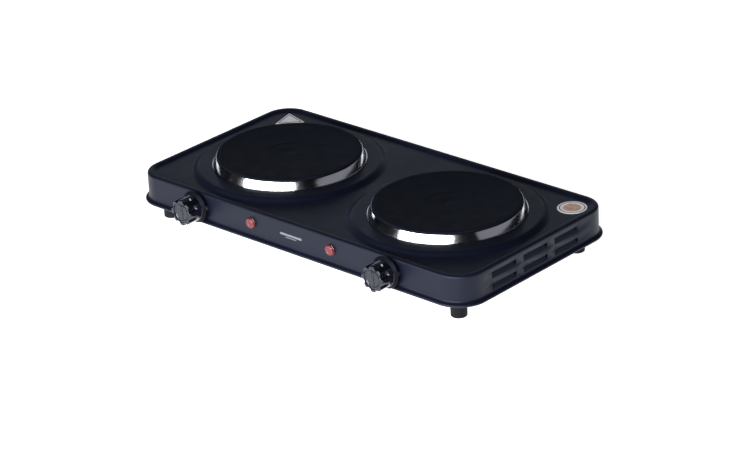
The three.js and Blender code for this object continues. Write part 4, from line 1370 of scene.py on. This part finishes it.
@dataclass
class ControlKnob:
    """One bakelite knob: a thin skirt, a barrel with eight scooped grips, and a pointer on its face."""

    finishes: Finishes
    name: str
    grips: int = 8
    steps_per_grip: int = 20
    skirt_edge: float = 1.2 * MM
    skirt_cone: float = 2.6 * MM
    barrel_radius: float = 14.0 * MM
    grip_half_width: float = 2.9 * MM
    grip_depth: float = 2.6 * MM
    grip_foot: float = 9.6 * MM  # from the skirt's back to where the scoops end
    scoop: float = 3.0 * MM
    face_edge: float = 0.8 * MM
    dish_radius: float = 10.6 * MM
    dish_depth: float = 0.9 * MM
    ring_radius: float = 8.6 * MM
    line_half_width: float = 0.35 * MM
    bar_half_width: float = 1.9 * MM
    bar_half_length: float = 7.6 * MM
    soft: float = 0.45 * MM
    back_recess: float = 2.4 * MM
    rim: float = 2.0 * MM
    hub_radius: float = 4.0 * MM
    small_round: float = 0.3 * MM

    def __post_init__(self) -> None:
        """Reads the knob's place from the frame."""
        low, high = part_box(f"knob_{self.name}")
        self.radius = (high[2] - low[2]) / 2
        self.length = high[1] - low[1]
        centre = node_centre(f"knob_{self.name}")
        self.origin = Vector((centre.x, high[1], centre.z))
        count = self.grips * self.steps_per_grip
        self.angles = [2 * math.pi * i / count for i in range(count)]

    def scooped(self, angle: float, height: float) -> float:
        """How deep the grip's scoop is at a place of the barrel.

        Args:
            angle: Round the knob, in radians.
            height: Along the knob, from the skirt's back.

        Returns:
            How far inside the barrel the surface lies.
        """
        step = 2 * math.pi / self.grips
        away = (angle / step - 0.5) % 1.0
        across = min(away, 1 - away) * step * self.barrel_radius / self.grip_half_width
        along = max(0.0, (self.grip_foot + self.scoop - height) / self.scoop)
        return self.grip_depth * math.sqrt(max(0.0, 1 - across ** 2 - along ** 2))

    def relief(self, x: float, y: float) -> float:
        """How far the face stands above its dish at a place: a bar, cut by a line, inside a ring.

        Args:
            x: Across the face.
            y: Along the pointer.

        Returns:
            The height above the dish.
        """
        radius = math.hypot(x, y)
        beyond = max(abs(x) - self.bar_half_width, abs(y) - self.bar_half_length)
        bar = smooth_step(0.5 - beyond / self.soft)
        on_line = y > self.bar_half_length * 0.2
        line = smooth_step(1.2 - (abs(x) - self.line_half_width) / self.soft) if on_line else 0.0
        ring = smooth_step(0.8 - (abs(radius - self.ring_radius) - self.line_half_width) / self.soft)
        return self.dish_depth * max(0.0, max(bar, 0.7 * ring) - 0.7 * line * bar)

    def ring(self, made: bmesh.types.BMesh, height: float,
             radius_at: Callable[[float], float]) -> list[bmesh.types.BMVert]:
        """One ring of points.

        Args:
            made: The working mesh.
            height: How far along the knob it lies.
            radius_at: The radius at an angle.

        Returns:
            The ring's points in order.
        """
        return [made.verts.new((radius_at(a) * math.cos(a), radius_at(a) * math.sin(a), height))
                for a in self.angles]

    def skirt(self, made: bmesh.types.BMesh) -> list[list[bmesh.types.BMVert]]:
        """The rings of the back and the skirt, up to the foot of the barrel.

        Args:
            made: The working mesh.

        Returns:
            The rings, from the back forwards.
        """
        inner, round_off = self.radius - self.rim, self.small_round
        profile = [(self.hub_radius, self.back_recess), (inner, self.back_recess), (inner, 0.0),
                   (self.radius - round_off, 0.0), (self.radius, round_off),
                   (self.radius, self.skirt_edge - round_off), (self.radius - round_off, self.skirt_edge)]
        foot = self.skirt_edge + self.skirt_cone
        profile += arc((self.barrel_radius + 1.3 * MM, foot + 0.7 * MM), 1.3 * MM, 240, 185, 5)
        return [self.ring(made, height, lambda _a, r=radius: r) for radius, height in profile]

    def barrel(self, made: bmesh.types.BMesh) -> list[list[bmesh.types.BMVert]]:
        """The rings of the scooped barrel, up to the rounded edge of the face.

        Args:
            made: The working mesh.

        Returns:
            The rings, from the skirt forwards.
        """
        face_foot = self.length - self.face_edge
        start = self.skirt_edge + self.skirt_cone + 1.4 * MM
        heights = [start, self.grip_foot - 0.3 * MM]
        heights += [self.grip_foot + self.scoop * i / 8 for i in range(9)]
        heights += [self.grip_foot + self.scoop + (face_foot - self.grip_foot - self.scoop) * i / 3
                    for i in (1, 2, 3)]
        rings = [self.ring(made, z, lambda a, z=z: self.barrel_radius - self.scooped(a, z)) for z in heights]
        for turn in (30, 60, 90):
            inset = self.face_edge * (1 - math.cos(math.radians(turn)))
            z = face_foot + self.face_edge * math.sin(math.radians(turn))
            rings.append(self.ring(
                made, z, lambda a, z=z, inset=inset: self.barrel_radius - inset - self.scooped(a, z)))
        return rings

    def build(self) -> None:
        """Builds and dresses the knob."""
        made = bmesh.new()
        rings = self.skirt(made) + self.barrel(made)
        rings.append(self.ring(made, self.length, lambda _a: self.dish_radius + self.soft))
        floor = self.length - self.dish_depth
        steps = 30
        for i in range(steps):
            radius = self.dish_radius * (1 - i / steps)
            rings.append([made.verts.new((
                radius * math.cos(a), radius * math.sin(a),
                floor + self.relief(radius * math.cos(a), radius * math.sin(a)))) for a in self.angles])
        pole = made.verts.new((0, 0, floor + self.relief(0, 0)))
        count = len(self.angles)
        for low, high in zip(rings, rings[1:]):
            for i in range(count):
                j = (i + 1) % count
                made.faces.new((low[i], low[j], high[j], high[i]))
        for i in range(count):
            made.faces.new((rings[-1][i], rings[-1][(i + 1) % count], pole))
        made.faces.new(list(reversed(rings[0])))
        foot = self.skirt_edge + self.skirt_cone
        for face in made.faces:
            if max(v.co.z for v in face.verts) < foot:
                face.material_index = 1
        data = finished_mesh(made, f"bakelite_knob_{self.name}", Facing.FRONT.place(self.origin), 36)
        finishes = [self.finishes.get(self.finishes.bakelite), self.finishes.get(self.finishes.matt_bakelite)]
        add_piece(f"bakelite_knob_{self.name}", data, finishes,
                  f"knob_{self.name}_turning", [f"knob_{self.name}"])


@dataclass
class PilotLamp:
    """One red lamp lens with a rounded rim and a faint inner ring."""

    finishes: Finishes
    name: str
    neck: float = 4.4 * MM
    edge: float = 0.9 * MM
    stands_out: float = 2.9 * MM  # from the wall

    def build(self) -> None:
        """Builds and dresses the lens."""
        low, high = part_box(f"lamp_lens_{self.name}")
        centre = node_centre(f"lamp_lens_{self.name}")
        radius = (high[2] - low[2]) / 2
        length = high[1] - low[1]
        wall = length - self.stands_out
        path = [(0.0, 0.0), (self.neck, 0.0), (self.neck, wall), (radius - 0.2 * MM, wall),
                (radius, wall + 0.2 * MM), (radius, wall + 0.9 * MM), (radius - 0.35 * MM, wall + 1.15 * MM)]
        path += arc((radius - 0.35 * MM - self.edge, length - self.edge), self.edge, 0, 80, 6)
        path += [(radius * 0.62, length - 0.05 * MM), (radius * 0.56, length - 0.25 * MM),
                 (radius * 0.5, length - 0.05 * MM), (radius * 0.3, length), (0.0, length)]
        origin = Vector((centre.x, high[1], centre.z))
        data = finished_mesh(turned(path, 64), f"lamp_cap_{self.name}", Facing.FRONT.place(origin))
        add_piece(f"lamp_cap_{self.name}", data, self.finishes.get(self.finishes.lamp_red),
                  stands_for=[f"lamp_lens_{self.name}"])


@dataclass
class CordInlet:
    """The moulded bush in the back wall."""

    finishes: Finishes
    bore: float = 3.7 * MM
    neck: float = 5.7 * MM
    grooves: int = 2
    lip: float = 2.6 * MM

    def build(self) -> None:
        """Builds and dresses the bush."""
        low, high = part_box("cord_gland")
        centre = node_centre("cord_gland")
        radius, length = (high[2] - low[2]) / 2, high[1] - low[1]
        lip_foot = length - self.lip
        inner = self.neck + 1.0 * MM
        path = [(self.bore, 0.3 * MM), (self.bore + 0.3 * MM, 0.0), (inner, 0.0), (inner, 1.8 * MM),
                (self.neck, 1.8 * MM), (self.neck, lip_foot), (radius, lip_foot)]
        step = 2.0 * MM / (2 * self.grooves + 1)
        for i in range(self.grooves):
            z = lip_foot + 0.3 * MM + step * (2 * i)
            path += [(radius, z + step * 0.5), (radius - 0.4 * MM, z + step), (radius, z + 1.5 * step)]
        path += [(radius - 0.2 * MM, length - 0.4 * MM), (radius - 0.9 * MM, length),
                 (self.bore + 0.6 * MM, length), (self.bore, length - 0.6 * MM), (self.bore, 0.3 * MM)]
        origin = Vector((centre.x, low[1], centre.z))
        data = finished_mesh(turned(path, 56), "inlet_bush", Facing.BACK.place(origin))
        add_piece("inlet_bush", data, self.finishes.get(self.finishes.black_nylon),
                  stands_for=["cord_gland"])


# ------------------------------------------------------------------ labels


@dataclass
class Labels:
    """The plain triangular patch and the plain round seal on the panel."""

    finishes: Finishes
    thickness: float = 0.3 * MM
    corner_round: float = 1.2 * MM
    seal_bands: tuple[tuple[float, int], ...] = ((1.0, 0), (0.875, 1), (0.815, 0), (0.60, 2))
    patch_bands: tuple[tuple[float, int], ...] = ((1.0, 0), (0.84, 1), (0.72, 0))

    def layered(self, name: str, outline: Sequence[Point], bands: Sequence[tuple[float, int]],
                centre: Vector, finishes: Sequence[bpy.types.Material], node: str) -> None:
        """Builds a thin label from nested outlines, each band with its own finish.

        Args:
            name: The piece's name.
            outline: Its outer edge, about its own middle.
            bands: (share of the outline, finish number) from the edge to the middle.
            centre: The middle of its foot.
            finishes: The materials that the numbers mean.
            node: The frame node that it stands for.
        """
        made = bmesh.new()
        top = self.thickness

        def loop(share: float, z: float) -> list[bmesh.types.BMVert]:
            """The outline drawn in to a share of its size."""
            return [made.verts.new((x * share, y * share, z)) for x, y in outline]

        edge_share = 0.992
        levels = [(loop(1.0, 0.0), 0), (loop(1.0, top * 0.7), 0), (loop(edge_share, top), bands[0][1])]
        for share, number in bands[1:]:
            levels.append((loop(share, top), number))
        count = len(outline)
        for (low, number), (high, _) in zip(levels, levels[1:]):
            for i in range(count):
                j = (i + 1) % count
                made.faces.new((low[i], low[j], high[j], high[i])).material_index = number
        made.faces.new(levels[-1][0]).material_index = levels[-1][1]
        made.faces.new(list(reversed(levels[0][0])))
        data = finished_mesh(made, name, Facing.UP.place(centre))
        add_piece(name, data, finishes, stands_for=[node])

    def build(self) -> None:
        """Builds and dresses both labels."""
        film, ink, copper = (self.finishes.get(f) for f in
                             (self.finishes.film, self.finishes.ink, self.finishes.copper))
        low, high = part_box("round_label")
        centre = node_centre("round_label")
        radius = (high[0] - low[0]) / 2
        disc = arc((0, 0), radius, 0, 360, 64)[:-1]
        self.layered("round_seal", disc, self.seal_bands, Vector((centre.x, centre.y, low[2])),
                     (film, ink, copper), "round_label")
        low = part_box("caution_label")[0]
        corners = self.triangle(low[2])
        middle = sum(corners, Vector()) / 3
        outline = self.rounded([(c - middle).to_2d() for c in corners], self.corner_round)
        self.layered("corner_patch", outline, self.patch_bands,
                     Vector((middle.x, middle.y, low[2])), (film, ink), "caution_label")

    def triangle(self, foot: float) -> list[Vector]:
        """The patch's corners, from its box: its apex points at the back left corner.

        Args:
            foot: The height that they lie at.

        Returns:
            The three corners, counterclockwise.
        """
        mesh = frame["nodes"]["caution_label"].data
        places = {(round(v.co.x, 5), round(v.co.y, 5)) for v in mesh.vertices}
        middle = Vector((sum(p[0] for p in places) / len(places), sum(p[1] for p in places) / len(places)))
        ordered = sorted(places, key=lambda p: math.atan2(p[1] - middle.y, p[0] - middle.x))
        return [Vector((x, y, foot)) for x, y in ordered]

    def rounded(self, corners: Sequence[Vector], radius: float) -> list[Point]:
        """A polygon's outline with its corners rounded.

        Args:
            corners: The corners in order.
            radius: How far from each corner its curve starts.

        Returns:
            The outline's points.
        """
        found: list[Point] = []
        count = len(corners)
        for i, corner in enumerate(corners):
            before = (corners[i - 1] - corner).normalized()
            after = (corners[(i + 1) % count] - corner).normalized()
            start, end = corner + before * radius, corner + after * radius
            for step in range(7):
                share = step / 6
                point = start * (1 - share) ** 2 + corner * 2 * share * (1 - share) + end * share ** 2
                found.append((point.x, point.y))
        return found


# ------------------------------------------------------------------ studio


@dataclass
class Softbox:
    """One soft rectangular light."""

    name: str
    place: Space
    aim: Space
    size: Point
    power: float
    colour: Colour = (1.0, 1.0, 1.0)

    def build(self) -> None:
        """Adds the light to the scene."""
        light = bpy.data.lights.new(self.name, "AREA")
        light.shape = "RECTANGLE"
        light.size, light.size_y = self.size
        light.energy = self.power
        light.color = self.colour
        lamp = bpy.data.objects.new(self.name, light)
        bpy.context.scene.collection.objects.link(lamp)
        lamp.visible_camera = False
        lamp.location = self.place
        lamp.rotation_euler = (Vector(self.aim) - Vector(self.place)).to_track_quat("-Z", "Y").to_euler()


@dataclass
class Studio:
    """The floor, the lights, the surroundings and the camera."""

    camera_place: Space = (1.94312, -2.05760, 1.30173)
    bearing: float = 0.752  # radians round from the front
    pitch: float = 0.432  # radians down
    roll: float = -0.05
    lens: float = 144.02
    surroundings: Colour = (0.003, 0.0036, 0.0055)
    backdrop: Colour = (1.0, 1.0, 1.0)  # what the camera sees past the floor
    floor_reach: float = 1.3  # half its width; past it all is the backdrop
    floor_colour: Colour = (0.85, 0.85, 0.86)
    floor_glow: float = 0.92  # light that the floor gives off by itself
    lights: tuple[Softbox, ...] = (
        Softbox("sky", (-1.35, 1.60, 1.75), (0, 0, 0), (1.7, 1.3), 0.8, (0.88, 0.93, 1.0)),
        Softbox("key", (0.36, -2.46, 0.86), (0, 0, 0.10), (3.8, 1.5), 172.0, (1.0, 1.0, 1.0)),
        Softbox("back", (-1.32, 1.55, 0.62), (0, 0, 0.05), (2.5, 0.5), 3.0, (0.78, 0.86, 1.0)),
        Softbox("side", (2.0, 1.5, 0.98), (0, 0, 0.05), (4.6, 1.1), 3.8, (0.90, 0.90, 1.0)),
    )

    def floor(self) -> None:
        """A plain pale floor."""
        made = bmesh.new()
        bmesh.ops.create_grid(made, x_segments=1, y_segments=1, size=self.floor_reach)
        data = bpy.data.meshes.new("floor")
        made.to_mesh(data)
        made.free()
        floor = bpy.data.objects.new("floor", data)
        bpy.context.scene.collection.objects.link(floor)
        graph = Graph("pale_floor")
        graph.set("Base Color", (*self.floor_colour, 1.0))
        graph.set("Roughness", 0.9)
        graph.set("Specular IOR Level", 0.1)
        graph.set("Emission Color", (1.0, 1.0, 1.0, 1.0))
        graph.set("Emission Strength", self.floor_glow)
        data.materials.append(graph.material)

    def world(self) -> None:
        """Dim, even surroundings."""
        world = bpy.data.worlds.new("surroundings")
        world.use_nodes = True
        tree = world.node_tree
        dim = tree.nodes["Background"]
        dim.inputs["Color"].default_value = (*self.surroundings, 1.0)
        pale = tree.nodes.new("ShaderNodeBackground")
        pale.inputs["Color"].default_value = (*self.backdrop, 1.0)
        rays, choice = tree.nodes.new("ShaderNodeLightPath"), tree.nodes.new("ShaderNodeMixShader")
        tree.links.new(rays.outputs["Is Camera Ray"], choice.inputs["Fac"])
        tree.links.new(dim.outputs["Background"], choice.inputs[1])
        tree.links.new(pale.outputs["Background"], choice.inputs[2])
        tree.links.new(choice.outputs["Shader"], tree.nodes["World Output"].inputs["Surface"])
        bpy.context.scene.world = world

    def camera(self) -> None:
        """The camera, a little rolled, looking down from the front right."""
        right = Vector((math.cos(self.bearing), math.sin(self.bearing), 0))
        level = math.cos(self.pitch)
        back = Vector((math.sin(self.bearing) * level, -math.cos(self.bearing) * level, math.sin(self.pitch)))
        up = back.cross(right)
        turned_right = math.cos(self.roll) * right + math.sin(self.roll) * up
        turned_up = -math.sin(self.roll) * right + math.cos(self.roll) * up
        lens = bpy.data.cameras.new("camera")
        lens.lens = self.lens
        lens.sensor_width = 36.0
        lens.clip_end = 50.0
        camera = bpy.data.objects.new("camera", lens)
        bpy.context.scene.collection.objects.link(camera)
        turn = Matrix((turned_right, turned_up, back)).transposed().to_4x4()
        camera.matrix_world = Matrix.Translation(self.camera_place) @ turn
        bpy.context.scene.camera = camera

    def build(self) -> None:
        """Sets up the studio."""
        self.camera()
        self.floor()
        self.world()
        for light in self.lights:
            light.build()
        bpy.context.scene.view_settings.view_transform = "Standard"


# ------------------------------------------------------------------ the whole object


def dress_inner_parts(finishes: Finishes) -> None:
    """Gives each frame node that stays its finish, by the record's slot.

    Args:
        finishes: The finishes of the object.
    """
    materials = finishes.by_slot()
    slots = {part["node"]: part["material_slot"] for part in frame["record"]["subparts"]}
    for node, piece in frame["nodes"].items():
        if piece.hide_render or slots[node] not in materials:
            continue
        for holder in piece.material_slots:
            holder.link = "OBJECT"
            holder.material = materials[slots[node]]
        log.info("%s: kept, in %s", node, slots[node])


def main() -> None:
    """Builds the object and the studio."""
    logging.basicConfig(level=logging.INFO, format="%(name)s %(message)s")
    finishes = Finishes()
    grid = GridCopies()
    Studio().build()
    Housing(finishes, grid).build()
    Underside(finishes, grid).build()
    for name, _ in SIDES:
        HotPlate(finishes, name).build()
        ControlKnob(finishes, name).build()
        PilotLamp(finishes, name).build()
    CordInlet(finishes).build()
    Labels(finishes).build()
    dress_inner_parts(finishes)


if __name__ == "__main__":
    main()
